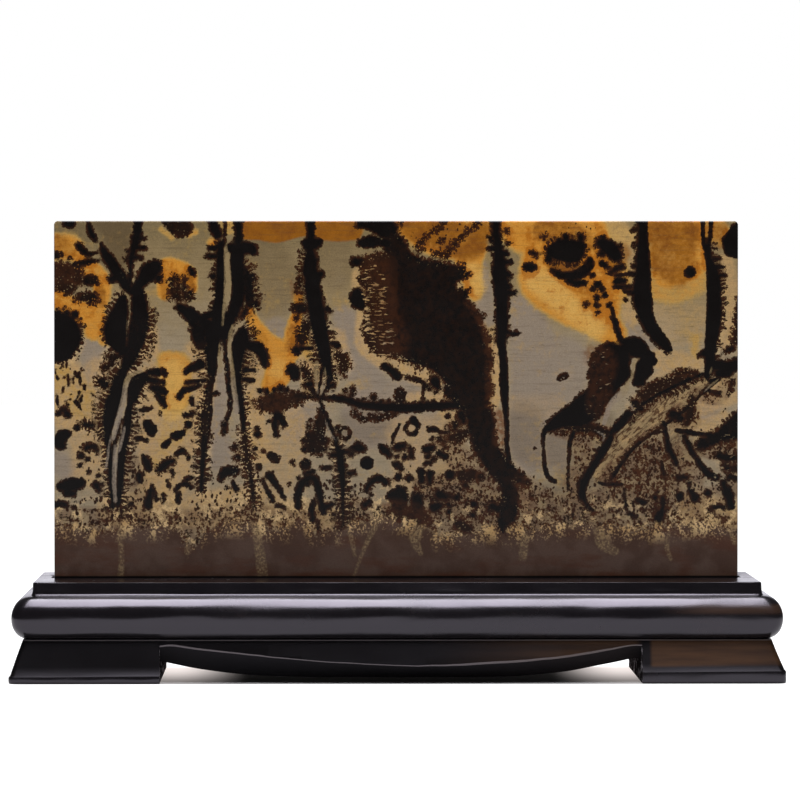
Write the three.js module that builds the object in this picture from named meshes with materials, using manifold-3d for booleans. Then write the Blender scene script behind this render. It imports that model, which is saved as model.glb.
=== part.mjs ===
/*
 * A picture stone on its stand.
 *
 * A polished slab of natural stone stands upright in a groove cut along the top
 * of a black lacquered hardwood stand. The stand is two boards, one glued on the
 * other: a top board with a raised ledge and a fat rounded edge, and a base board
 * with flaring sides, sawn away underneath so that it stands on two broad feet
 * with a shallow belly hanging between them.
 *
 * Millimetres, +Z up. X runs along the stand and the picture face looks along -Y.
 * The origin is the middle of the stand's footprint, on the surface it stands on.
 */
import * as THREE from "three";
import { mergeVertices } from "three/addons/utils/BufferGeometryUtils.js";
import Module from "manifold-3d";

const wasm = await Module();
wasm.setup();

// The stone slab
const SLAB_WIDTH = 300;
const SLAB_THICKNESS = 13;
const SLAB_ABOVE_LEDGE = 156.5;
const SLAB_CORNER = 1.2; // radius of the four corners, seen from the front
const SLAB_ARRIS = 0.6; // the eased edge round each face

// The stand's footprint and levels
const STAND_WIDTH = 335.2;
const STAND_DEPTH = 110;
const BASE_TOP = 18.7;
const GLUE_GAP = 0.3; // between the two boards, and under the slab
const BULGE_LEVEL = 28; // where the rounded edge stands out furthest
const MOULDING_TOP = 37.6;
const LEDGE_TOP = 43.3;

// How far the boards' edges stand in from the footprint
const BULGE_INSET = 1;
const MOULDING_TOP_INSET = 8.8;
const LEDGE_INSET = 10.1;
const BASE_TOP_INSET = 5.9;
const FLARE_END_INSET = 1.1;
const FLARE_END_LEVEL = 6.2;

// Corner radii in plan
const FOOT_CORNER = 2.5;
const MOULDING_CORNER = 5;
const LEDGE_CORNER = 2;

// The groove that holds the slab
const GROOVE_DEPTH = 7.3;
const GROOVE_SIDE_CLEARANCE = 0.5;
const GROOVE_END_CLEARANCE = 1.5;

// The arch sawn through the base, and its hand-cut curves as [x, z]
const ARCH_LEFT = -102.6;
const ARCH_RIGHT = 105.5;
const BEVEL_DEPTH = 7; // how far back the belly's front edge is cut away
const FRONT_EDGE = [
  [ARCH_LEFT, 15.9], [-97, 16.2], [-85, 14.7], [-66, 12.7], [-42, 10.4],
  [-14, 8.5], [14, 7.7], [44, 8.9], [70, 11.1], [88, 13.8], [100, 16.1],
  [ARCH_RIGHT, 16.3],
];
const BELLY_UNDERSIDE = [
  [ARCH_LEFT, 9.2], [-85, 5.8], [-66, 3.4], [-42, 2.5], [0, 2.3],
  [44, 2.5], [70, 4.3], [88, 7.4], [ARCH_RIGHT, 11],
];

const CORNER_STEPS = 6;
const ARC_STEPS = 10;
const ARCH_STEPS = 44;

const lacquer = new THREE.MeshStandardMaterial({ color: 0x0d0c0e, roughness: 0.22, metalness: 0 });
const stone = new THREE.MeshStandardMaterial({ color: 0x6f675b, roughness: 0.16, metalness: 0 });

/** One level of a board: its outline in plan is a rounded rectangle, inset from the footprint. */
function outline({ inset, level, corner }) {
  const x = STAND_WIDTH / 2 - inset - corner;
  const y = STAND_DEPTH / 2 - inset - corner;
  const shape = new THREE.Shape();
  shape.absarc(x, y, corner, 0, Math.PI / 2);
  shape.absarc(-x, y, corner, Math.PI / 2, Math.PI);
  shape.absarc(-x, -y, corner, Math.PI, 1.5 * Math.PI);
  shape.absarc(x, -y, corner, 1.5 * Math.PI, 2 * Math.PI);
  const points = shape.curves
    .filter((curve) => curve.isEllipseCurve)
    .flatMap((arc) => arc.getPoints(CORNER_STEPS));
  return points.map((p) => new THREE.Vector3(p.x, p.y, level));
}

/** A closed body through a row of convex sections with equal numbers of points. */
function loft(sections) {
  const count = sections[0].length;
  const positions = sections.flat().flatMap((p) => p.toArray());
  const faces = [];
  for (let s = 0; s + 1 < sections.length; s++)
    for (let i = 0; i < count; i++) {
      const a = s * count + i;
      const b = s * count + ((i + 1) % count);
      faces.push(a, b, b + count, a, b + count, a + count);
    }
  const last = (sections.length - 1) * count;
  for (let i = 1; i + 1 < count; i++) {
    faces.push(0, i + 1, i);
    faces.push(last, last + i, last + i + 1);
  }
  const geometry = new THREE.BufferGeometry();
  geometry.setAttribute("position", new THREE.Float32BufferAttribute(positions, 3));
  geometry.setIndex(faces);
  return geometry;
}

function toSolid(geometry) {
  const bare = geometry.clone();
  bare.deleteAttribute("normal");
  bare.deleteAttribute("uv");
  const merged = mergeVertices(bare, 1e-4);
  return new wasm.Manifold(new wasm.Mesh({
    numProp: 3,
    vertProperties: new Float32Array(merged.attributes.position.array),
    triVerts: new Uint32Array(merged.index.array),
  }));
}

function toGeometry(solid) {
  const mesh = solid.getMesh();
  const geometry = new THREE.BufferGeometry();
  geometry.setAttribute("position", new THREE.BufferAttribute(mesh.vertProperties, 3));
  geometry.setIndex(new THREE.BufferAttribute(mesh.triVerts, 1));
  geometry.computeVertexNormals();
  return geometry;
}

/** Levels along a quarter ellipse of a moulding, from one angle to another, in degrees. */
function arcLevels({ centreInset, centreLevel, reach, height, from, to, corner }) {
  return Array.from({ length: ARC_STEPS + 1 }, (_, i) => {
    const angle = THREE.MathUtils.degToRad(THREE.MathUtils.lerp(from, to, i / ARC_STEPS));
    return {
      inset: centreInset - reach * Math.cos(angle),
      level: centreLevel + height * Math.sin(angle),
      corner,
    };
  });
}

/** The top board: a rounded edge that bulges most below its middle, then a small step and the ledge. */
function topBoardLevels() {
  const underside = BASE_TOP + GLUE_GAP;
  const lowerReach = 6.6;
  const lower = arcLevels({
    centreInset: BULGE_INSET + lowerReach, centreLevel: BULGE_LEVEL,
    reach: lowerReach, height: BULGE_LEVEL - underside,
    from: -80, to: 0, corner: MOULDING_CORNER,
  });
  const upperReach = MOULDING_TOP_INSET - BULGE_INSET;
  const upper = arcLevels({
    centreInset: MOULDING_TOP_INSET, centreLevel: BULGE_LEVEL,
    reach: upperReach, height: MOULDING_TOP - BULGE_LEVEL,
    from: 9, to: 86, corner: MOULDING_CORNER,
  });
  const step = 0.9;
  const ease = 0.7;
  return [
    { inset: lower[0].inset + 0.3, level: underside, corner: MOULDING_CORNER },
    ...lower,
    ...upper,
    { inset: LEDGE_INSET - step, level: MOULDING_TOP + 0.1, corner: LEDGE_CORNER + step },
    { inset: LEDGE_INSET - 0.45, level: MOULDING_TOP + 0.8, corner: LEDGE_CORNER },
    { inset: LEDGE_INSET - 0.1, level: MOULDING_TOP + 2, corner: LEDGE_CORNER },
    { inset: LEDGE_INSET, level: LEDGE_TOP - ease, corner: LEDGE_CORNER },
    { inset: LEDGE_INSET + 0.2 * ease, level: LEDGE_TOP - 0.3 * ease, corner: LEDGE_CORNER },
    { inset: LEDGE_INSET + ease, level: LEDGE_TOP, corner: LEDGE_CORNER },
  ];
}

/** The base board: flat flaring sides that turn upright near the floor. */
function baseLevels() {
  const corner = FOOT_CORNER;
  return [
    { inset: 0.8, level: 0, corner },
    { inset: 0.2, level: 0.4, corner },
    { inset: 0, level: 1.2, corner },
    { inset: 0.05, level: 3.6, corner },
    { inset: 0.4, level: 5.1, corner },
    { inset: FLARE_END_INSET, level: FLARE_END_LEVEL, corner },
    { inset: 0.5 * (FLARE_END_INSET + BASE_TOP_INSET), level: 0.5 * (FLARE_END_LEVEL + BASE_TOP), corner },
    { inset: BASE_TOP_INSET - 0.2, level: BASE_TOP - 0.4, corner },
    { inset: BASE_TOP_INSET, level: BASE_TOP, corner },
  ];
}

/** Where the flaring front face is, in Y, at a height above the floor. */
function frontFaceAt(level) {
  const share = THREE.MathUtils.inverseLerp(FLARE_END_LEVEL, BASE_TOP, level);
  return THREE.MathUtils.lerp(FLARE_END_INSET, BASE_TOP_INSET, share) - STAND_DEPTH / 2;
}

/** A hand-cut curve as a function of its share of the arch's span. */
function handCut(points) {
  const curve = new THREE.SplineCurve(points.map(([x, z]) => new THREE.Vector2(x, z)));
  return (x) => {
    let low = 0;
    let high = 1;
    for (let i = 0; i < 40; i++) {
      const middle = (low + high) / 2;
      if (curve.getPoint(middle).x < x) low = middle;
      else high = middle;
    }
    return curve.getPoint(low).y;
  };
}

/** What the saw takes out from under the base, with both long edges bevelled back to the belly. */
function archCutter() {
  const frontEdge = handCut(FRONT_EDGE);
  const underside = handCut(BELLY_UNDERSIDE);
  const outside = STAND_DEPTH;
  const below = -5;
  const sections = [];
  for (let i = 0; i <= ARCH_STEPS; i++) {
    const x = THREE.MathUtils.lerp(ARCH_LEFT, ARCH_RIGHT, i / ARCH_STEPS);
    const edge = frontEdge(x);
    const face = frontFaceAt(edge);
    const half = [
      [-outside, below], [-outside, edge], [face, edge], [face + BEVEL_DEPTH, underside(x)],
    ];
    const mirrored = half.map(([y, z]) => [-y, z]).reverse();
    sections.push([...half, ...mirrored].map(([y, z]) => new THREE.Vector3(x, y, z)).reverse());
  }
  return toSolid(archSkin(sections));
}

/** Like loft, with end caps cut for a section that is waisted in the middle. */
function archSkin(sections) {
  const count = sections[0].length;
  const skin = loft(sections);
  const sides = Array.from(skin.index.array).slice(0, (sections.length - 1) * count * 6);
  const flat = sections[0].map((p) => new THREE.Vector2(p.y, p.z));
  const cap = THREE.ShapeUtils.triangulateShape(flat, []);
  const last = (sections.length - 1) * count;
  for (const [a, b, c] of cap) {
    const facing = Math.sign(THREE.ShapeUtils.area([flat[a], flat[b], flat[c]]));
    const turned = facing > 0 ? [a, c, b] : [a, b, c];
    sides.push(...turned, ...[...turned].reverse().map((v) => v + last));
  }
  skin.setIndex(sides);
  return skin;
}

function box(width, depth, height, centre) {
  return new THREE.BoxGeometry(width, depth, height).translate(...centre);
}

function makeTopBoard() {
  const board = toSolid(loft(topBoardLevels().map(outline)));
  const overcut = 10;
  const groove = toSolid(box(
    SLAB_WIDTH + 2 * GROOVE_END_CLEARANCE,
    SLAB_THICKNESS + 2 * GROOVE_SIDE_CLEARANCE,
    GROOVE_DEPTH + overcut,
    [0, 0, LEDGE_TOP + (overcut - GROOVE_DEPTH) / 2],
  ));
  const mesh = new THREE.Mesh(toGeometry(board.subtract(groove)), lacquer);
  mesh.name = "stand_top_board";
  return mesh;
}

function makeBase() {
  const board = toSolid(loft(baseLevels().map(outline)));
  const mesh = new THREE.Mesh(toGeometry(board.subtract(archCutter())), lacquer);
  mesh.name = "stand_base";
  return mesh;
}

function makeSlab() {
  const inGroove = GROOVE_DEPTH - GLUE_GAP;
  const height = SLAB_ABOVE_LEDGE + inGroove;
  const w = SLAB_WIDTH / 2 - SLAB_ARRIS;
  const h = height / 2 - SLAB_ARRIS;
  const face = new THREE.Shape();
  face.moveTo(w, h - SLAB_CORNER);
  face.absarc(w - SLAB_CORNER, h - SLAB_CORNER, SLAB_CORNER, 0, Math.PI / 2);
  face.absarc(-w + SLAB_CORNER, h - SLAB_CORNER, SLAB_CORNER, Math.PI / 2, Math.PI);
  face.absarc(-w + SLAB_CORNER, -h + SLAB_CORNER, SLAB_CORNER, Math.PI, 1.5 * Math.PI);
  face.absarc(w - SLAB_CORNER, -h + SLAB_CORNER, SLAB_CORNER, 1.5 * Math.PI, 2 * Math.PI);
  const slab = new THREE.ExtrudeGeometry(face, {
    depth: SLAB_THICKNESS - 2 * SLAB_ARRIS,
    bevelThickness: SLAB_ARRIS,
    bevelSize: SLAB_ARRIS,
    bevelSegments: 3,
    curveSegments: CORNER_STEPS,
  });
  slab.translate(0, 0, SLAB_ARRIS - SLAB_THICKNESS / 2);
  const mesh = new THREE.Mesh(slab, stone);
  mesh.name = "stone_slab";
  mesh.rotation.x = Math.PI / 2;
  mesh.position.z = LEDGE_TOP - inGroove + height / 2;
  return mesh;
}

const pictureStone = new THREE.Group();
pictureStone.add(makeBase(), makeTopBoard(), makeSlab());

export default pictureStone;
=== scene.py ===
"""A polished picture stone standing in the groove of a black lacquered stand.

The stone's picture is a natural growth of dark minerals. It is laid out as stems, washes and veins
placed on the slab's face, worked out at the points of a fine mesh, and broken up
into lobes, teeth and flecks by the stone's own material.
"""
from __future__ import annotations

import logging
import math
from dataclasses import dataclass, field
from enum import Enum
from typing import Sequence, Union

import bmesh
import bpy
import numpy as np
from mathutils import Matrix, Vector, noise


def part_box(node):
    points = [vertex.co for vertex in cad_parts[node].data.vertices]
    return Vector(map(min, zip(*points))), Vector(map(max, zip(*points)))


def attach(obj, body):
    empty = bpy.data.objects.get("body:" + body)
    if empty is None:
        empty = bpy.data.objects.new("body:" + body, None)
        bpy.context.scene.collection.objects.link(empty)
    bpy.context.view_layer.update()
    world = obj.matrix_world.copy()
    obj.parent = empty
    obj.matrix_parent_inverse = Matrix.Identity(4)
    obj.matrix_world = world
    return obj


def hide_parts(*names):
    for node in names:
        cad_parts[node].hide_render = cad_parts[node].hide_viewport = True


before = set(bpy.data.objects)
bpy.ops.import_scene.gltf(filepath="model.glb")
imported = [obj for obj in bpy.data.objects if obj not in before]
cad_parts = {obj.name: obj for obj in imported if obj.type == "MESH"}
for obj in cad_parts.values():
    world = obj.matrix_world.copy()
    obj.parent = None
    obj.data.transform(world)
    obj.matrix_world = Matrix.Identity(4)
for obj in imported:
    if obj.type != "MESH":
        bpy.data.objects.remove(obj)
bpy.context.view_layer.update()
log = logging.getLogger("picture_stone")

MM = 0.001
Colour = tuple[float, float, float]
Spot = tuple[float, float, float]
Reach = Union[float, tuple[float, float]]
Value = Union["Wire", float]
Paint = Union["Wire", Colour]
Ring = list[bmesh.types.BMVert]
FACE_UNITS = 683.0


def srgb(red: int, green: int, blue: int) -> Colour:
    """A colour as linear light.

    Args:
        red, green, blue: its display values, from 0 to 255.

    Returns:
        The same colour, each channel from 0 to 1.
    """
    def linear(channel: int) -> float:
        """One channel as linear light."""
        share = channel / 255
        return share / 12.92 if share <= 0.04045 else ((share + 0.055) / 1.055) ** 2.4
    return linear(red), linear(green), linear(blue)


class Wire:
    """A value on its way through a material's nodes, with arithmetic that adds Math nodes."""

    def __init__(self, bench: "Bench", socket: bpy.types.NodeSocket) -> None:
        """Args:
            bench: the material that the value belongs to.
            socket: the output that carries it.
        """
        self.bench = bench
        self.socket = socket

    def __add__(self, other: Value) -> "Wire":
        """Sum."""
        return self.bench.maths("ADD", self, other)

    __radd__ = __add__

    def __sub__(self, other: Value) -> "Wire":
        """Difference."""
        return self.bench.maths("SUBTRACT", self, other)

    def __rsub__(self, other: Value) -> "Wire":
        """Difference, with the wire taken away."""
        return self.bench.maths("SUBTRACT", other, self)

    def __mul__(self, other: Value) -> "Wire":
        """Product."""
        return self.bench.maths("MULTIPLY", self, other)

    __rmul__ = __mul__

    def __truediv__(self, other: Value) -> "Wire":
        """Quotient."""
        return self.bench.maths("DIVIDE", self, other)

    def __rtruediv__(self, other: Value) -> "Wire":
        """Quotient, with the wire below."""
        return self.bench.maths("DIVIDE", other, self)

    def at_most(self, other: Value) -> "Wire":
        """The smaller of the two."""
        return self.bench.maths("MINIMUM", self, other)

    def at_least(self, other: Value) -> "Wire":
        """The larger of the two."""
        return self.bench.maths("MAXIMUM", self, other)

    def size(self) -> "Wire":
        """The value without its sign."""
        return self.bench.maths("ABSOLUTE", self)


def solid(colour: Paint) -> Wire | tuple[float, ...]:
    """A colour as a socket takes it: a wire as it is, a plain colour with its alpha."""
    return colour if isinstance(colour, Wire) else (*colour, 1.0)


class Bench:
    """A node tree, and the few ways of adding to it that the finishes use."""

    def __init__(self, owner: bpy.types.Material | bpy.types.World) -> None:
        """Args:
            owner: the material or world that the nodes belong to.
        """
        self.owner = owner
        owner.use_nodes = True
        self.tree = owner.node_tree
        self.tree.nodes.clear()

    def node(self, kind: str, settings: dict | None = None, inputs: dict | None = None) -> bpy.types.Node:
        """Adds any node.

        Args:
            kind: the node's type.
            settings: properties, set first.
            inputs: socket names or numbers, each with a value or a Wire.

        Returns:
            The node.
        """
        made = self.tree.nodes.new(kind)
        for key, value in (settings or {}).items():
            setattr(made, key, value)
        for key, value in (inputs or {}).items():
            if isinstance(value, Wire):
                self.tree.links.new(value.socket, made.inputs[key])
            else:
                made.inputs[key].default_value = value
        return made

    def wire(self, kind: str, output: str | int, settings: dict | None = None,
             inputs: dict | None = None) -> Wire:
        """Adds any node and returns the wire from one of its outputs."""
        return Wire(self, self.node(kind, settings, inputs).outputs[output])

    def maths(self, operation: str, *values: Value) -> Wire:
        """One Math node."""
        return self.wire("ShaderNodeMath", 0, {"operation": operation}, dict(enumerate(values)))

    def step(self, value: Wire, low: Value, high: Value, start: Value = 0.0, end: Value = 1.0) -> Wire:
        """A smooth step: start while value is under low, end above high."""
        inputs = {"Value": value, "From Min": low, "From Max": high, "To Min": start, "To Max": end}
        return self.wire("ShaderNodeMapRange", "Result", {"interpolation_type": "SMOOTHSTEP"}, inputs)

    def mix(self, share: Value, under: Paint, over: Paint, blend: str = "MIX") -> Wire:
        """One colour laid over another by a share from 0 to 1."""
        settings = {"data_type": "RGBA", "blend_type": blend}
        return self.wire("ShaderNodeMix", 2, settings, {0: share, 6: solid(under), 7: solid(over)})

    def attribute(self, name: str) -> Wire:
        """A number stored at the mesh's points."""
        settings = {"attribute_type": "GEOMETRY", "attribute_name": name}
        return self.wire("ShaderNodeAttribute", "Fac", settings)

    def scaled(self, vector: Wire, x: float, y: float, z: float) -> Wire:
        """A place stretched by a factor along each axis."""
        return self.wire("ShaderNodeVectorMath", 0, {"operation": "MULTIPLY"}, {0: vector, 1: (x, y, z)})

    def place(self) -> Wire:
        """The point's place on the object, in metres."""
        return self.wire("ShaderNodeTexCoord", "Object")

    def part(self, vector: Wire, axis: str) -> Wire:
        """One of a vector's three numbers, by the letter of its axis."""
        return self.wire("ShaderNodeSeparateXYZ", axis, None, {0: vector})

    def noise(self, place: Wire, scale: float, detail: float = 3.0, roughness: float = 0.55,
              distortion: float = 0.0) -> Wire:
        """Cloudy noise about 0.5."""
        inputs = {"Vector": place, "Scale": scale, "Detail": detail, "Roughness": roughness,
                  "Distortion": distortion}
        return self.wire("ShaderNodeTexNoise", "Fac", None, inputs)

    def cells(self, place: Wire, scale: float) -> Wire:
        """The distance to the middle of the nearest of many uneven cells in space."""
        return self.wire("ShaderNodeTexVoronoi", "Distance", None, {"Vector": place, "Scale": scale})

    def row(self, along: Wire, output: str = "Distance", feature: str = "F1") -> Wire:
        """Uneven cells in a row along a line: the distance to one's middle or edge, or its colour."""
        settings = {"feature": feature, "voronoi_dimensions": "1D"}
        inputs = {"W": along, "Scale": 1.0, "Randomness": 0.7}
        return self.wire("ShaderNodeTexVoronoi", output, settings, inputs)

    def finish(self, colour: Paint, inputs: dict) -> bpy.types.Material:
        """Closes the material with one Principled shader.

        Args:
            colour: its base colour.
            inputs: its other sockets, each with a value or a Wire.

        Returns:
            The material.
        """
        shader = self.wire("ShaderNodeBsdfPrincipled", 0, None, {"Base Color": solid(colour), **inputs})
        self.node("ShaderNodeOutputMaterial", None, {0: shader})
        return self.owner


def spots(points: str) -> np.ndarray:
    """Reads points such as "11 3 3, 17 3": a point with no half width keeps the one before it.

    Args:
        points: across, down and half width at each, in face units.

    Returns:
        One row of three numbers for each point, or of two if none has a half width.
    """
    rows: list[list[float]] = []
    for point in points.split(","):
        row = [float(number) for number in point.split()]
        if rows and len(row) < len(rows[-1]):
            row.append(rows[-1][-1])
        rows.append(row)
    return np.array(rows)


def through(points: Sequence[Spot] | np.ndarray, steps: int = 4) -> np.ndarray:
    """A smooth run through a few points.

    Args:
        points: (across, down, half width) at each.
        steps: stretches between one point and the next.

    Returns:
        The points of the run, a Catmull-Rom curve.
    """
    known = np.array(points, dtype=float)
    if len(known) < 3:
        return known
    padded = np.vstack([2 * known[0] - known[1], known, 2 * known[-1] - known[-2]])
    run = []
    for i in range(1, len(padded) - 2):
        before, here, there, after = padded[i - 1:i + 3]
        for t in np.arange(steps) / steps:
            run.append(0.5 * (2 * here + (there - before) * t
                              + (2 * before - 5 * here + 4 * there - after) * t ** 2
                              + (3 * here - before - 3 * there + after) * t ** 3))
    run.append(known[-1])
    run = np.array(run)
    run[:, 2] = np.maximum(run[:, 2], 0.1)
    return run


@dataclass(frozen=True)
class Stem:
    """A dark growth: a run of points, each across, down and half width in face units.

    reach is how far its broken fringe spreads past the solid dark. A pair gives first the side
    towards the slab's left for a stem that runs down (below one that runs right), then the other.
    warmth is how brown it is.
    """

    points: str
    reach: Reach = 2.0
    warmth: float = 0.1


@dataclass(frozen=True)
class Patch:
    """A dark area with a closed outline of points across and down in face units."""

    outline: str
    reach: float = 2.0
    warmth: float = 0.1


class Tint(Enum):
    """The washes of colour and texture that lie in the stone."""

    OCHRE = "ochre"
    STRAW = "straw"
    UMBER = "umber"
    TAN = "tan"
    LILAC = "lilac"
    RUST = "rust"
    SHADE = "shade"
    FLECK = "fleck"
    GRAVEL = "gravel"
    STREAK = "streak"
    LOG = "log"


@dataclass(frozen=True)
class Wash:
    """A soft area of one tint, along a run of points with half widths, soft units wide at its rim."""

    points: str
    amount: float = 1.0
    soft: float = 8.0


def ring(u: float, v: float, radius: float, half_width: float) -> str:
    """A closed round line about a point, as a run of points."""
    turns = [2 * math.pi * i / 8 for i in range(9)]
    return ", ".join(f"{u + radius * math.cos(a)} {v + radius * math.sin(a)} {half_width}" for a in turns)


def alike(reach: Reach, warmth: float, *runs: str) -> list[Stem]:
    """Several stems with the same fringe and warmth."""
    return [Stem(run, reach, warmth) for run in runs]


LEFT_GROWTHS: list[Stem] = [
    # Flecks and rosettes at the upper left
    *alike(2, 0.1, "11 3 3, 17 3 4", "34 2 1.5, 36 9 3, 41 19 2"),
    *alike(2, 0.3, "25 25 3.5, 29 29, 34 33 2.5, 43 32 1", "18 45 2, 25 43 3, 34 41 2.8, 44 40 1.2"),
    *alike(2, 0.5, "2 34 3.5, 7 33 2", "16 37 2"),
    *alike(4, 0.75, "4 50 8, 12 52 9, 22 52 6, 24 58 5", "8 62 8, 15 66 6, 14 71 3"),
    Stem("33 59 4.5, 37 59 5, 42 61 3", 3, 0.4), Stem("24 77 2.5, 29 76 3, 36 76 5, 42 79 2", 5, 0.45),
    Stem("3 101 11, 9 109 16, 10 117 17, 6 128 13", 8, 0.05),
    *alike(2, 0.1, "5 92 3", "13 92 3", "21 93 3.5"), Stem("1 150 0.8, 4 158 1.3", 1, 0.4),
    Stem("13.7 153 1.3, 14.5 164", 1, 0.3), Stem("10 156 1.3", 1, 0.8), Stem("21 151 2, 23 154", 1, 0.3),
    Stem("19 156 0.9, 19 162", 1, 0.7), Stem("25 151 1.3, 26 162 1.5", 1, 0.3),
    Stem("27 147 1.1, 30 149", 1, 0.9),
    *alike(1, 0.3, "9.4 166 1.1, 8.3 171", "30 164 1.6, 30.5 168", "17 173 1"),
    *alike(1, 0.2, "25 170 1.2, 24 175", "28 174 1.2, 27 179 1.7", "2.7 174 1.2, 3.7 183 1.4", "15.7 178 1"),
    Stem("11 180 1.2, 14 184", 1, 0.3), Stem("21 180 2, 24 183, 27 189 1", 1, 0.2),
    *alike(1, 0.3, "37 172 0.9, 42 176", "39 188 1.2, 43 189"),
    # The forked stem
    *alike(2, 0.1, "47 23 1.5, 50 31 3.5, 54 37 5.5, 59 44, 64 53 6, 70 61 5, 74 69 3", "62 56 5, 57 58 3.5",
           "85 -3 4, 83 12 4.5, 80 25 4, 77 37 3.2, 76 50 2, 75 62 3, 75 70", "83 17 2.5, 90 17 1.8",
           "82 26 3, 91 27 2", "79 36 3, 87 37 2.2", "80 29 2.5, 74 30 1.5", "77 38 2, 71 38 1.6"),
    *alike(3, 0.1, "89 57 6, 95 51 9, 101 46 7", "104 57 4"), Stem("89 60 5, 82 66 4.5, 77 71 3.5"),
    Stem("83 70 6, 85 82 8, 86 96 8.5", (1.5, 2.5)),
    Stem("86 96 9.5, 84 109 10, 81 121 9, 77 132 8, 72 144 6", (1.5, 14), 0.25),
    Stem("69 77 4, 66 90 8.5, 62 103 11, 61 112 11.5, 64 122 8.5, 67 129 5.5", (7, 1)),
    Stem("66 134 3, 60 136, 53 135 2", 8, 0.5), Stem("58 142 3, 50 146", 4, 0.5),
    Stem("72 144 5, 68 152, 64 163 7, 61 175 8, 57 188 7.5, 54 200 6.5, 53 212 4.5", (15, 0.7)),
    Stem("53 212 4.5, 54 225 3.5, 56 240, 57 256, 58 272 3, 58 285 2.5", (10, 0.7), 0.15),
    Stem("66 198 0.9, 64 210 1.3, 60 222, 58 234 1"),
    Stem("89 156 6, 83 162 8, 79 172 7, 77 181 4", (0.7, 12), 0.25),
    Stem("76 181 3, 74 195 4.5, 72 210 4.8, 69 225 4.5, 67 240, 66 256 4, 65 271 3.5, "
         "64 285 2.5", (0.7, 13)),
    *alike(2, 0.1, "94 151 3, 103 151 4", "108 149 2.5, 111 153", "93 158 3, 102 160, 109 161 2",
           "97 166 3, 105 168 4, 111 171 2.5", "103 173 3, 108 180, 111 185 1.8",
           "85 189 1.3, 91 188 2.2, 97 187 1.5"), Stem("106 192 2", 2, 0.7),
    Stem("93 203 5, 97 209 5.5", 1.5, 0.0),
    *alike(2, 0.1, "80 217 1.8, 86 217 2.5, 92 219 1.8", "78 204 1.8, 84 204 1.2",
           "89 235 2, 92 240 4, 94 246", "85 254 3.5, 85 260 2", "97 264 1.2, 95 275 3.5, 93 284",
           "99 268 1.8, 102 278", "109 273 1.5, 109 280 1", "77 282 2.2", "113 259 1.2, 115 266",
           "117 249 1.5, 119 255 1"), Stem("106 248 3, 112 242 4, 118 240 2", 4),
    *alike(2, 0.1, "122 233 2, 127 229 2.5, 131 232 1.5", "134 236 2",
           "130 259 1.8, 134 257 2.2, 138 256 1.2", "121 269 1.5, 125 264 2, 131 262 2.2, 137 266 1.8",
           "124 272 2, 123 279 2.5"),
    # Loose dots at the lower left
    Stem("48 160 4.5, 51 164 4", 6, 0.3), Stem("23 206 3"), Stem("30 203 2.5, 38 205 3", 6, 0.2),
    Stem("14 213 3.5, 9 214 6, 5 221, 8 225 4", 1.5, 0.0), Stem("32 226 3, 38 225, 43 229 2", 4, 0.3),
    Stem("26 234 3.5", 2, 0.3), Stem("33 238 2.5"), Stem("4 193 1.8, 9 188 2.8, 14 193", 3, 0.3),
    *alike(2, 0.0, "6 265 4, 15 264 6.5, 26 262 5", "13 271 4.5, 19 272 3"), Stem("42 264 4, 45 269 2", 3),
    *alike(2, 0.1, "34 250 2.2", "48 263 1.8", "1 283 3, 8 282, 13 285 2", "19 286 1.8", "44 254 2.2",
           "26 244 2"),
    # The dark spot at the top and the ringed rosette below it
    Stem("114 1 5, 121 5 7.5, 130 6, 135 7 3", 2, 0.5), Stem("124 11 5, 131 11 4", 2, 0.7),
    Stem("119 56 1.5, 118 68 2, 120 76 3", 5, 0.5),
    *alike(4, 0.5, "124 58 1.5, 124 70 2, 125 78 3", "130 58 2, 130 66 1.5, 131 76 3, 136 73"),
    Stem("136 48 2.2, 139 52 3", 2, 0.3),
    Stem("126 86 4, 134 92 6.5, 143 100 8, 153 107 9.5, 162 109 10", (3, 2), 0.2), Stem("149 96 4, 158 93"),
    Stem("142 110 6, 146 122 6.5", 3, 0.3), Stem("158 118 8, 160 131 5"),
]

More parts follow.
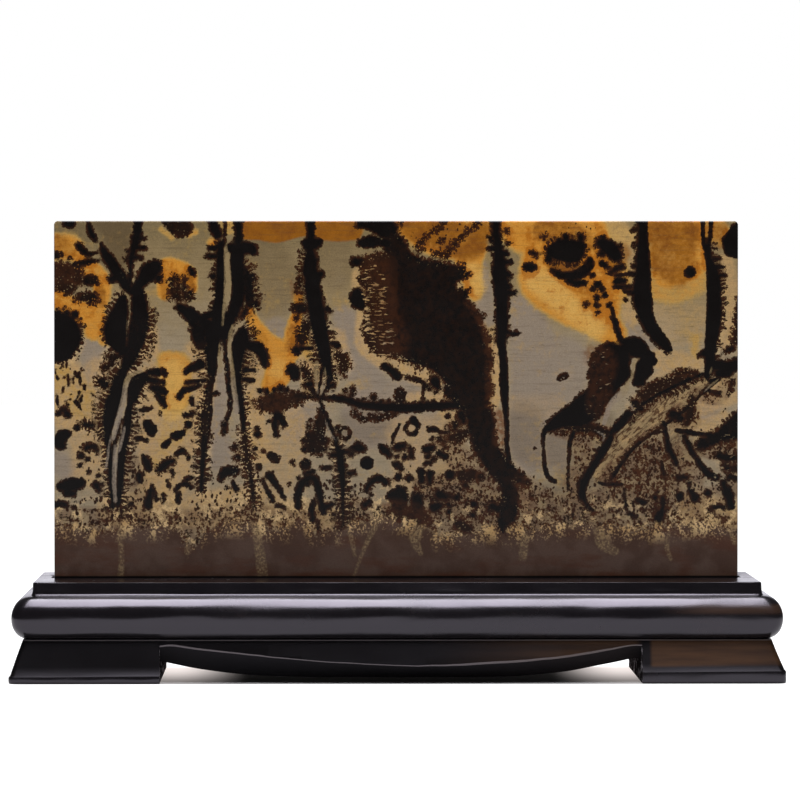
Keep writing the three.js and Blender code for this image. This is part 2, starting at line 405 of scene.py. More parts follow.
TWIN_STEM_GROWTHS: list[Stem] = [
    Stem("156 -3 3, 160 6 5, 163 13 4.5"),
    Stem("166 23 3.5, 166 40 4.5, 166 58 5, 165 75, 165 88 7, 164 100 8, 165 111", (6, 0.7)),
    *alike(2, 0.1, "162 27 3, 155 27 2.2", "161 35 3, 153 35 2.2", "160 55 3, 156 55 1.8",
           "171 -3 1.2, 171 9 1, 169.5 18 1.1, 168 26 1.5"), Stem("184 -3 4, 184 12 3.5, 184 22 4", 2.5),
    Stem("177 27 5, 187 27 6, 197 27 5, 199 30 4.5"),
    Stem("183 30 7, 182 47 6.8, 184 62 7, 183 77, 179 90 6, 174 102 5.5, 170 113 6", (0.7, 3)),
    Stem("188 45 3, 192 56 4.5, 194 70 5, 196 82", (1, 9), 0.3), Stem("198 57 4.5", 3, 0.4),
    Stem("201 82 4", 3, 0.3), Stem("191 89 3, 186 96 1.5", 4, 0.4),
    Stem("170 112 5, 171 124 2.2, 171.5 135 2, 173 148 2.2, 174 164, 176 179 2.5, 175 190 2.2, "
         "172 198 2.4", (1.5, 0.8), 0.35), Stem("170 203 3.2, 170 211 2.8", 2, 0.4),
    Stem("189 108 3.5, 187 117 8, 184 130 7.5, 183 143 6, 182.5 155 5", (0.8, 16)),
    Stem("182.5 155 5, 184 168 4.3, 186 182 3.8, 188 195 3.2, 189 208 2.8", (0.8, 9), 0.2),
    Stem("190 210 3, 191 225 3.5, 193 240, 195 252", 9, 0.6),
    Stem("196 255 3, 198 270 2.5, 199 284 2", 9, 0.4), Stem("194 124 5, 203 127 6, 208 134 5, 210 143 3", 3),
    *alike(2, 0.1, "190 148 3, 199 149 2.2", "190 158 2.6, 198 159 2"), Stem("213 135 1.6", 2, 0.6),
    *alike(3, 0.5, "180 226 3.8", "183 236 3.5"), *alike(2, 0.3, "203 213 3.2", "202 207 2.3"),
    Stem("155 128 6, 157 140, 157 152 5", (15, 0.8), 0.2),
    Stem("157 152 5, 155 165 4, 154 178, 152 192 6, 151 206 5.5, 151 216 4.5", (11, 0.8), 0.45),
    Stem("150 216 4, 149 230 3.2, 148 245 3, 147 258 2.8, 147 269 2", (9, 8)),
    Stem("156 172 2, 164 172 1.2", 2, 0.3), Stem("131 151 2.2, 137 147 3.8, 146 143 5", 2, 0.2),
    *alike(2, 0.1, "132 161 1.8, 140 160 2, 150 159", "125 175 3, 129 169 2.4, 137 167, 146 164 1.8",
           "137 178 2.3, 138 183 2", "130 194 2, 136 193 2.4, 140 191 1.3"),
    *alike(1.5, 0.0, "134 203 4", "118 214 2.5, 123 214 4.3, 128 211 3.2", "110 224 3.3, 114 220 2.6"),
    # The hooks at its foot
    Stem("166 258 2.5, 171 250 5, 180 249", 2, 0.3),
    *alike(2, 0.1, "178 261 2, 182 268", "172 267 1.5", "208 258 1.3, 212 268 2, 218 279",
           "215 254 3.8, 220 261 3, 226 270 2.3, 230 277 1.3"), Stem("204 246 3.3", 2, 0.3),
    Stem("200 227 2.5", 2, 0.4), Stem("209 230 2", 2, 0.7), Stem("216 234 4, 221 237 4.5", 1.5, 0.4),
    Stem("238 241 2.8", 2, 0.6), Stem("244 257 1.6"), Stem("234 262 1.5", 2, 0.6),
    Stem("251 243 5.8", 1.5, 0.3), Stem("250 252 1.5, 258 250 2"),
    *alike(2, 0.0,
           "243 285 2.6, 243 273 3.2, 247 263 3.8, 253 257 3.4, 260 258 3.6, 264 268, 266 280 3, 269 291 2",
           "253 262 3", "260 279 1.5, 257 288 2.6, 258 298"),
    *alike(2, 0.1, "262 300 1.2, 264 308 1", "222 284 1.3, 230 286", "270 286 3.6, 277 283 2.4",
           "279 293 1.8"),
]

CROSSING_GROWTHS: list[Stem] = [
    *alike(2, 0.1, "255 -3 4, 256 10 3.8, 256 18 4.5", "250 22 3.5, 256 23 7, 264 21 3.8"),
    Stem("256 30 4, 256 38 6.5, 255 48 7.5, 258 58 8.5, 258 68 8, 260 80 8.5", (9, 2.5)),
    Stem("260 80 8.5, 262 92, 264 105", (13, 4)),
    Stem("264 105 8.5, 267 118 8, 270 132 7, 272 145 5.5, 276 157 3", (15, 9), 0.05),
    *alike(2, 0.1, "266 53 4", "272 88 3, 276 90 1.5"), Stem("283 125 3, 276 122 2", 3, 0.4),
    Stem("284 135 5, 290 142, 288 150 3.5", 5, 0.75), Stem("246 58 3.5, 243 66 2.5", 4, 0.5),
    Stem("247 72 2, 241 71 1.5", 2, 0.5), Stem("249 87 5, 240 87 3.8", 3, 0.4),
    Stem("251 104 5, 248 118 6", 7, 0.55), Stem("242 97 2.5", 3, 0.6), Stem("242 129 4.2", 3, 0.2),
    Stem("246 127 2, 258 127"), Stem("234 150 2.5, 238 148 5.5, 241 154 5", 2, 0.0),
    Stem("249 148 3, 255 155 3.5", 8, 0.5), Stem("250 164 2.4, 256 163 3.6", 3, 0.2),
    Stem("257 167 2.4, 262 176 1.4"), Stem("267 148 2.4, 266 158 1.8, 264 170 1.4, 263 178 1.3", 0.8, 0.2),
    Stem("275 158 2.6, 271 167 1.1, 267 177 1.2", 0.8), Stem("272 169 1.8, 274 165 3, 279 164 2.6", 2, 0.3),
    # The dark leaf to the left of the crossing
    Stem("205 183 3.5, 214 182 8, 226 180 8.6, 237 178 6.5, 247 175.5 3.3, 256 176 1.6, "
         "265 177.5 1.3", (5, 4), 0.45), Stem("200 181 1.5", 4, 0.5),
    *alike(2, 0.1, "206 169 2.8", "212 170 2.8", "220 169 2.2", "226 167 3.4", "232 169 2.2", "238 171 2",
           "221 190 3.6, 225 196 3.8, 229 203 3", "221 196 3, 220 205 2.8, 222 213 2.4"),
    Stem("214 200 2", 2, 0.3),
    # The bar that runs from the crossing to the great feather
    Stem("266 177.5 1.3, 276 176.5 2.5, 286 177 3.2, 296 180, 306 183 3.6, 320 185 4.2, 336 186 4.5, "
         "352 186.5, 368 185.5 4.3, 384 184.5, 400 184 3.4, 414 184 1.5", (2, 3)),
    *alike(3, 0.5, "291 170 2", "298 168 2.5, 297 173 2"),
    *alike(2, 0.3, "309 178 1.8", "319 176 3.3", "327 180 2.2", "334 180 2.2"),
    Stem("345 173 6, 345 178 5", 2, 0.5),
    Stem("300 191 2.6, 305 197 2.4, 311 198 2, 317 196 2.6, 324 197 2.2, 332 194 2.8, 340 193 2", 3, 0.6),
    Stem("370 162 1.1, 368 170 1, 368 180 1.1"),
    # Below the crossing
    Stem("265 178 1.3, 268 188 2.1, 272 197, 276 206 1.9, 280 216 2.1, 282 224 2.8", (0.8, 2), 0.15),
    Stem("282 224 3, 285 236 4, 286 248 4.3", 9),
    Stem("287 250 4, 288 264 3.3, 288 278 2.8, 288 292 2, 289 305 1.4", (11, 10), 0.05),
    Stem("266 190 2.4, 266 200 5, 264 210 6.5, 258 221 9, 264 226 6.5, 272 219 3", (4, 2), 0.5),
    Stem("250 220 3", 2, 0.3), Stem("250 228 3", 2, 0.2), *alike(2, 0.4, "256 199 2", "254 205 2.2"),
    Stem(ring(290, 212, 5.5, 2.0), 1, 0.5), Stem("283 206 2.3", 2, 0.5),
    Stem("297 226 2, 303 226 4.6, 309 227 2.5", 3, 0.2), Stem("303 222 2.2"),
    Stem("277 234 2.5, 283 233 3.6, 290 230 2.4, 297 233 1.8", 4), Stem("312 242 6.8", 1, 0.0),
    Stem("330 229 4.5, 327 226 3, 335 234 2.6", 2, 0.2), Stem("345 203 1, 339 214 1.6, 337 222 1", 1),
    *alike(3, 0.1, "268 247 2, 275 246 1.8", "295 252 2.5, 299 251 2",
           "312 268 2.4, 317 260 3, 325 257 3.4, 332 261 2.8"), Stem("316 273 1.8"),
    Stem("310 284 3, 314 280 2", 3, 0.2),
]

FEATHER_GROWTHS: list[Stem | Patch] = [
    Patch("331 -6, 341 10, 350 21, 357 33, 366 38, 380 40, 395 43, 408 45, 414 52, 411 58, 402 60, 401 67, "
          "414 70, 412 80, 420 87, 428 95, 427 101, 424 105, 430 110, 436 117, 432 122, 435 130, 438 139, "
          "437 148, 432 153, 436 161, 437 170, 433 179, 437 190, 440 202, 441 215, 444 228, 452 238, "
          "461 247, 470 256, 474 262, 468 265, 461 261, 464 274, 464 288, 459 300, 451 306, 446 300, "
          "443 286, 447 273, 444 262, 436 255, 430 245, 422 235, 416 220, 413 205, 411 192, 403 186, "
          "397 179, 388 173, 391 163, 384 153, 373 147, 360 143, 347 138, 337 130, 333 116, 335 100, "
          "331 85, 334 70, 331 55, 334 42, 330 30, 330 15", 4.5, 0.4),
    Stem("306 3 4, 318 3 7, 332 8 10", 3, 0.2), Stem("306 22 3.5, 314 21 6, 326 20 5, 338 24 6", 2, 0.25),
    Stem("300 40 3.8, 308 41 4, 318 38 3, 330 40 5", 3, 0.2),
    Patch("336 30, 320 33, 306 38, 303 44, 310 50, 304 57, 306 64, 312 68, 308 84, 312 92, 308 102, "
          "309 114, 313 124, 322 132, 338 136, 352 141, 352 30", 4.0, 0.9),
    Stem("302 73 6, 303 79 7.5, 307 84 5"),
    # Flecks by its top right edge
    Stem("391 -3 1.6, 384 8 1, 374 13 1.2, 368 20 1.6, 363 30 1.4", 4.5, 0.8),
    Stem("424 2 1.2, 414 10 0.8, 405 17 1, 397 26 1.2, 391 33 2, 381 33", 4, 0.8), Stem("386 20 2", 3, 0.7),
    Stem("346 1 2", 4, 0.6),
    # Dots between the bar and its left edge
    *alike(2, 0.1, "330 145 3.6, 336 149 3.4, 342 155 4.6",
           "352 156 1.4, 360 158 1.8, 368 161 1.4, 375 168 1.3"), Stem("380 160 5.5, 383 166 3", 4, 0.2),
    Stem("381 171 2.2"), Stem(ring(357, 207, 6.2, 1.8), 1.5, 0.4), Stem("359 199 4.5, 363 204 3", 1, 0.15),
    *alike(2, 0.1, "374 208 2, 380 208 2.6, 387 211 1.8, 392 211 1.2", "377 217 1.8", "393 195 2.2"),
    Stem("341 226 3, 349 224", 3, 0.2), Stem("356 228 2.8, 357 235 2.6", 2, 0.4),
    Stem("350 236 2.8", 2, 0.3), Stem("342 235 2"), Stem("371 228 3.6, 378 226 2.6", 2.5, 0.2),
    *alike(2, 0.1, "373 235 2.6", "379 237 2.6", "371 242 2.2, 376 241 1.6", "384 232 2.8, 390 235 3.2"),
    Stem("396 216 3, 404 215 4.6, 411 212 4", 4, 0.6), Stem("403 201 3, 398 208 2", 4, 0.5),
    Stem("406 193 4, 409 200 3", 3, 0.3), Stem("384 218 2, 389 221 1.8", 3, 0.4),
    Stem("342 243 2.6, 347 248 1.8", 3), Stem("343 256 3.6"), Stem("354 257 3.8", 2, 0.4),
    *alike(2, 0.1, "366 250 3.8, 367 259 3.4", "375 253 3.6, 375 262 2.4", "395 254 4.8"),
    Stem("405 253 3.6, 412 255 5.8, 418 252 4", 2, 0.7), Stem("425 255 3.8", 3, 0.5), Stem("410 264 2.6"),
    Stem("384 273 4.2, 391 276 2.6", 3, 0.0),
    *alike(2, 0.0, "402 276 3.6", "419 283 3.4", "379 286 4.4, 386 284 2.6"),
    *alike(2, 0.1, "394 284 2.4", "394 290 2.4"), Stem("418 294 2.8", 2, 0.0),
    Stem("438 285 3.4, 444 288 3", 3, 0.0), Stem("338 275 5.5, 346 271, 345 286 7.5", 3, 0.2),
    Stem("362 278 5.8, 362 291 6.5", 3, 0.15), Stem("342 292 7, 355 293 8, 370 297 5", 5, 0.95),
    Stem("405 304 5, 414 308 4", 3, 0.7),
    Stem("447 300 4, 448 312 2.4, 453 323 1.3, 458 339 1.1, 463 352 1", 2, 0.0),
]

RIGHT_GROWTHS: list[Stem | Patch] = [
    Stem("441 -3 4, 441 12 3.8, 443 25 4.3, 444 38 6, 445 52 7.6, 446 66, 447 80 6.4, 447 95 6, "
         "447 108 5.6, 446 119 4.8", 3, 0.0),
    *alike(2, 0.1, "440 27 3, 433 27 1.8", "438 20 2, 434 16 1.6", "437 5 1.6", "447 32 4, 452 33 2.3",
           "449 41 3.6, 455 41 2.6", "452 53 4, 455 54 2.6", "453 66 4", "453 71 3.4, 459 72 2.2"),
    Stem("450 110 3, 457 112 2.3, 463 112", 2, 0.3),
    Stem("446 119 4.8, 448 135 4.2, 449 150 4.4, 449 165 4.6, 450 180 3.6, 451 195 2.8, 452 210 2.4, "
         "452 225 2.3, 454 238 2.8", 0.8, 0.05), Stem("436 108 0.9, 442 109", 1, 0.4),
    Stem("452 10 2.2", 3, 0.9), Stem("454 22 2", 3, 0.8),
    # Rosettes in the ochre
    Stem("498 30 7, 508 29 11.5, 518 30, 524 25 6", 7, 0.15),
    *alike(3, 0.2, "511 17 3.8", "504 20 3", "526 17 4", "494 38 3.6"),
    Stem("545 22 4.6, 551 25 6.6, 558 30 7, 562 36 5", 3), *alike(2, 0.1, "548 17 2.8", "565 25 2.8"),
    Stem("547 32 3.6", 3, 0.3),
    Stem("497 49 2.2, 504 53 3.6, 512 55 4.4, 520 54 5, 528 50 5.6, 534 44 4.6, 535 39 3.6", 1.5, 0.25),
    Stem("513 59 2.6, 522 62 3.2, 530 62 2.6", 2, 0.2), Stem("537 54 2.3"),
    Stem("547 42 2.6, 552 46 2", 2.5, 0.3),
    *alike(2, 0.1, "543 63 3.6", "538 68 2.8", "547 68 2.8", "550 74 2.6", "542 76 2.6"),
    *alike(2, 0.2, "531 83 2.1", "542 84 2.1", "554 84 2.3"), Stem("543 91 2.1", 2, 0.3),
    Stem("555 52 2, 561 48 2.4, 567 46 2.8", 2.5, 0.3), Stem("561 54 1.8, 573 53"),
    Stem("562 60 3.8, 569 60 2.4", 2.5), Stem("561 65 2.4, 575 66"),
    Stem("471 46 2.8, 475 46 4.6, 479 46 2.8", 2, 0.0), Stem("477 31 1.8, 481 34 2", 2.5, 0.3),
    Stem("489 15 2.2", 4, 0.9),
    # The club-shaped stem
    Stem("587 -3 5.3, 588 12 5, 588 25 6, 588 40 7.2, 588 55 7.8, 587 68 9, 588 80 9.6, 590 92 8, "
         "595 104 7.2, 602 114 6.8, 609 122 5.8, 614 128 3.4", (3, 0.9), 0.0), Stem("582 8 2, 577 9 1.6"),
    Stem(ring(579, 24, 2.6, 1.2), 1, 0.2),
    *alike(2, 0.1, "579 45 2.8", "571 53 1.6, 581 53 2", "570 70 1.8, 578 72 3"), Stem("571 78 1.8", 2, 0.3),
    Stem("557 87 1.4, 558 95 2.4, 561 105 2.8, 564 114 2.4, 567 121 2.8", 1.5, 0.2),
    Stem("635 51 5.4", 1.5, 0.0),
    # The right stem and the corner
    Stem("648 -3 1.7, 648 14 1.9, 650 25 3", (1, 0.8), 0.0),
    Stem("656 -3 1.7, 655 14 1.9, 653 25 3", (0.8, 1), 0.0),
    Stem("652 27 4, 654 40, 658 52 6.6, 659 66 7.4, 659 80 7.6, 659 95 7.8, 658 108 7.4, 656 120 6.2, "
         "655 132 6, 655 144 5.6, 652 155 3.4", (0.8, 6), 0.0),
    *alike(2, 0.1, "657 37 2.6, 665 38 1.4", "659 46 2.6, 668 46 1.4", "661 54 2.6, 670 54 1.8"),
    Stem("650 132 4, 644 134 1.8", 2, 0.2),
    Patch("690 -6, 677 4, 667 18, 668 27, 671 35, 690 38", 1.5, 0.15),
    Stem("684 78 1.5, 682 95 2.4, 682 108 3.2, 681 120 4", (4, 2), 0.75),
    Stem("678 127 2.6, 671 130 1.8", 3, 0.3), Stem("663 144 5.6, 672 146 6, 686 142 5", 3, 0.0),
    Stem("664 152 4.6, 672 150 6", 2, 0.0), Stem("664 158 2, 656 160 2.6", 1, 0.0),
    # The bird-like hook with its dark diagonal
    Patch("534 141, 538 132, 545 125, 554 122, 564 124, 571 120, 574 126, 575 136, 574 144, 576 154, "
          "571 161, 563 168, 558 176, 551 184, 548 192, 541 198, 534 203, 528 208, 519 208, 510 206, "
          "500 209, 489 212, 489 205, 495 199, 500 193, 508 188, 515 183, 521 177, 529 171, 534 166, "
          "535 158, 532 152, 536 146", 2.5),
    Patch("566 122, 566 117, 573 116, 580 115, 586 117, 591 122, 594 128, 600 133, 603 141, 598 146, "
          "597 153, 591 158, 590 164, 583 166, 577 163, 579 152, 581 143, 584 137, 576 136, "
          "572 130", 1.5, 0.05), Stem("511 154 2.8, 507 156 3.4, 503 158 1.6", 1.5, 0.6),
    Stem("480 227 1.2", 1), Stem("512 205 4, 528 205 5, 540 208 4, 550 212 5, 556 214 3", (9, 4), 0.5),
    Stem("490 210 3, 488 218 1.8, 489 232 1.5, 490 246 2, 494 256 2.6, 500 260 2.2", 1),
    Stem("518 212 3, 515 222 2, 514 236 1.6, 513 252 1.3, 513 268 1.1", 1.2, 0.2),
    # Both sides of the pale bars
    Stem("573 194 4.8, 565 203 4.4, 557 211 3.6", (2, 1), 0.2),
    Stem("556 216 3.6, 549 228 4.2, 542 239, 535 250 3.8, 529 262 4.6, 527 273 3.6, 531 282 2, "
         "538 289 1.3", (3, 1), 0.0),
    Stem("648 153 2.2, 637 157, 626 162 2.6, 615 167 3, 603 173 2.4, 592 180 2.2, 583 187 1.8, "
         "574 195 1.4", (0.8, 8)), Stem("590 174 5, 600 167 6, 612 162 5, 625 158 3.6", 5, 0.8),
    Stem("580 182 4, 586 188 3", 5, 0.4), Stem("632 151 3, 622 152 2, 642 152 2.4", 3, 0.7),
    Stem("655 165 1, 646 174, 637 183 1.2, 627 191 1.6, 615 200, 603 209 1.2, 591 217 1.1, 579 227 1.4, "
         "570 238 1.8, 563 248 1.6, 556 258 1.4", (3, 0.8)),
    Stem("662 160 1.1, 655 166 1.3, 649 172 1.1", 0.8, 0.0),
    Stem("638 178 3, 636 186 3.8, 634 195 4.8, 632 202 2.8", (4, 2), 0.6),
    Stem("618 193 4.6, 626 197 3.8", 3, 0.3), Stem("652 167 1.4, 658 171 2, 664 172 2.2", 2, 0.2),
    Stem("677 160 2, 674 172 1.6", 3, 0.7),
    Stem("609 201 1.8, 611 212 2.3, 613 223 2.8, 617 233, 622 242 2.2", (2, 1), 0.05),
    Stem("594 213 1.2, 606 211", 1), Stem("622 209 2.3, 634 211 2.8, 646 213 2.2, 656 214 3", 1, 0.05),
    Patch("690 186, 682 190, 674 198, 668 203, 662 210, 655 214, 645 217, 640 224, 646 229, 655 225, "
          "668 220, 690 216", 4.0, 0.25),
    Stem("630 215 2.2, 634 225 2.8, 640 235 2.3, 646 244 2.8, 653 252 3.6, 662 256 3"),
    Stem("664 234 3.2, 672 237 3.4, 680 236 2.6", 5), Stem("670 247 2.2, 682 246 2", 4),
    Stem("674 256 2.4, 682 257 2", 3, 0.0),
    # Dark marks among the gravel below
    Stem("543 261.5 1, 556 263 1.8, 567 263.5 1.5", 1), Stem("569 268 1.3, 570 278, 572 288 1.5", 1.5),
    Stem("606 240 1.4, 608 250 1.8, 610 258 1", 2, 0.3), Stem("608 276 1.5, 608 286 2.2, 604 296 5", 3, 0.2),
    *alike(2, 0.0, "625 275 4", "640 277 4.4, 636 270 2"),
    *alike(2, 0.1, "634 262 1.6, 634 270 1.4", "653 272 3.4"), Stem("583 279 2.2, 589 281 2.6", 2, 0.0),
    *alike(2, 0.1, "574 292 1.6, 581 296 1.8", "600 276 2.6"),
    Stem("668 262 3, 673 272 4.4, 676 284 4", 2, 0.0), Stem("655 288 1.6, 664 285 2, 669 287 1.6", 2, 0.2),
    Stem("623 257 3, 632 256 2.4", 3, 0.4),
    *alike(1, 0.3, "519 284 1, 518 296", "554 300 0.9, 560 308 1.2, 566 316, 571 321 0.9"),
    Stem("612 322 0.8, 614 334 1, 617 345 0.9", 1),
]

# Pale lines through the dark growths
VEINS: list[str] = [
    # The pale channel in the forked stem
    "88 150 1.2, 80 152 1.8, 74 156 2.3, 71 164, 70 175 2.8, 67 187 2.9, 64 198 2.8, 61 208 2.6, 59 217 2",
    "61 224 1.6, 61 236 2.6, 60 251 2.4, 60 266 2.2, 61 280 1.8",
    "57 214 1, 54.5 226 1.2, 53 238 1.3, 51 248 1.2", "70 206 1.2, 68 216 1.7, 65 229 1.6",
    "66 50 0.1, 69 56 0.2, 72 62 0.1", "76 73 0.1, 74 84, 73 96, 72 108 0.5, 74 120 0.1",
    # Between the twin stems
    "171.5 24 1.2, 172 36 2.8, 173 50 3.4, 173 64 3.6, 171.5 78 2.8, 169 92 1.6, 168 104 0.9",
    "179 104 1.6, 176 112 2, 175 122 1.8, 176 135, 178 150 2.2, 179 165 2.4, 181 178 2.6, 182 190 2.8",
    "165 122 0.6, 165 132 1.6, 166 142 2.4, 165 150",
    # At the crossing
    "270 146 0.9, 271 155 0.8, 269 165, 266 174 0.9", "262 142 2.5, 261 152 2, 262 166 1.4, 263 172 0.6",
    "271 198 0.7, 273 206 1, 277 214 1.2, 281 219 0.7",
    # Through the hook and beside the bars
    "584 137.5 1, 580 140 1.8, 578 148, 577 156 1.6, 572 162 1.5",
    "573 163 1.8, 569 170 4, 562 177, 555 184 2.6, 552 193 2.5, 549 202 2.2", "657 146 0.8, 655 152 1.2",
    "664 158 0.6, 656 164 1, 649 171 0.6", "576 184 1.4, 579 189 1", "310 14 0.6, 318 13 0.8, 327 18 0.7",
    "540 209 1, 549 214 1.2, 548 219 1", "455 132 0.8, 455 148, 455 164 0.7, 456 182",
]

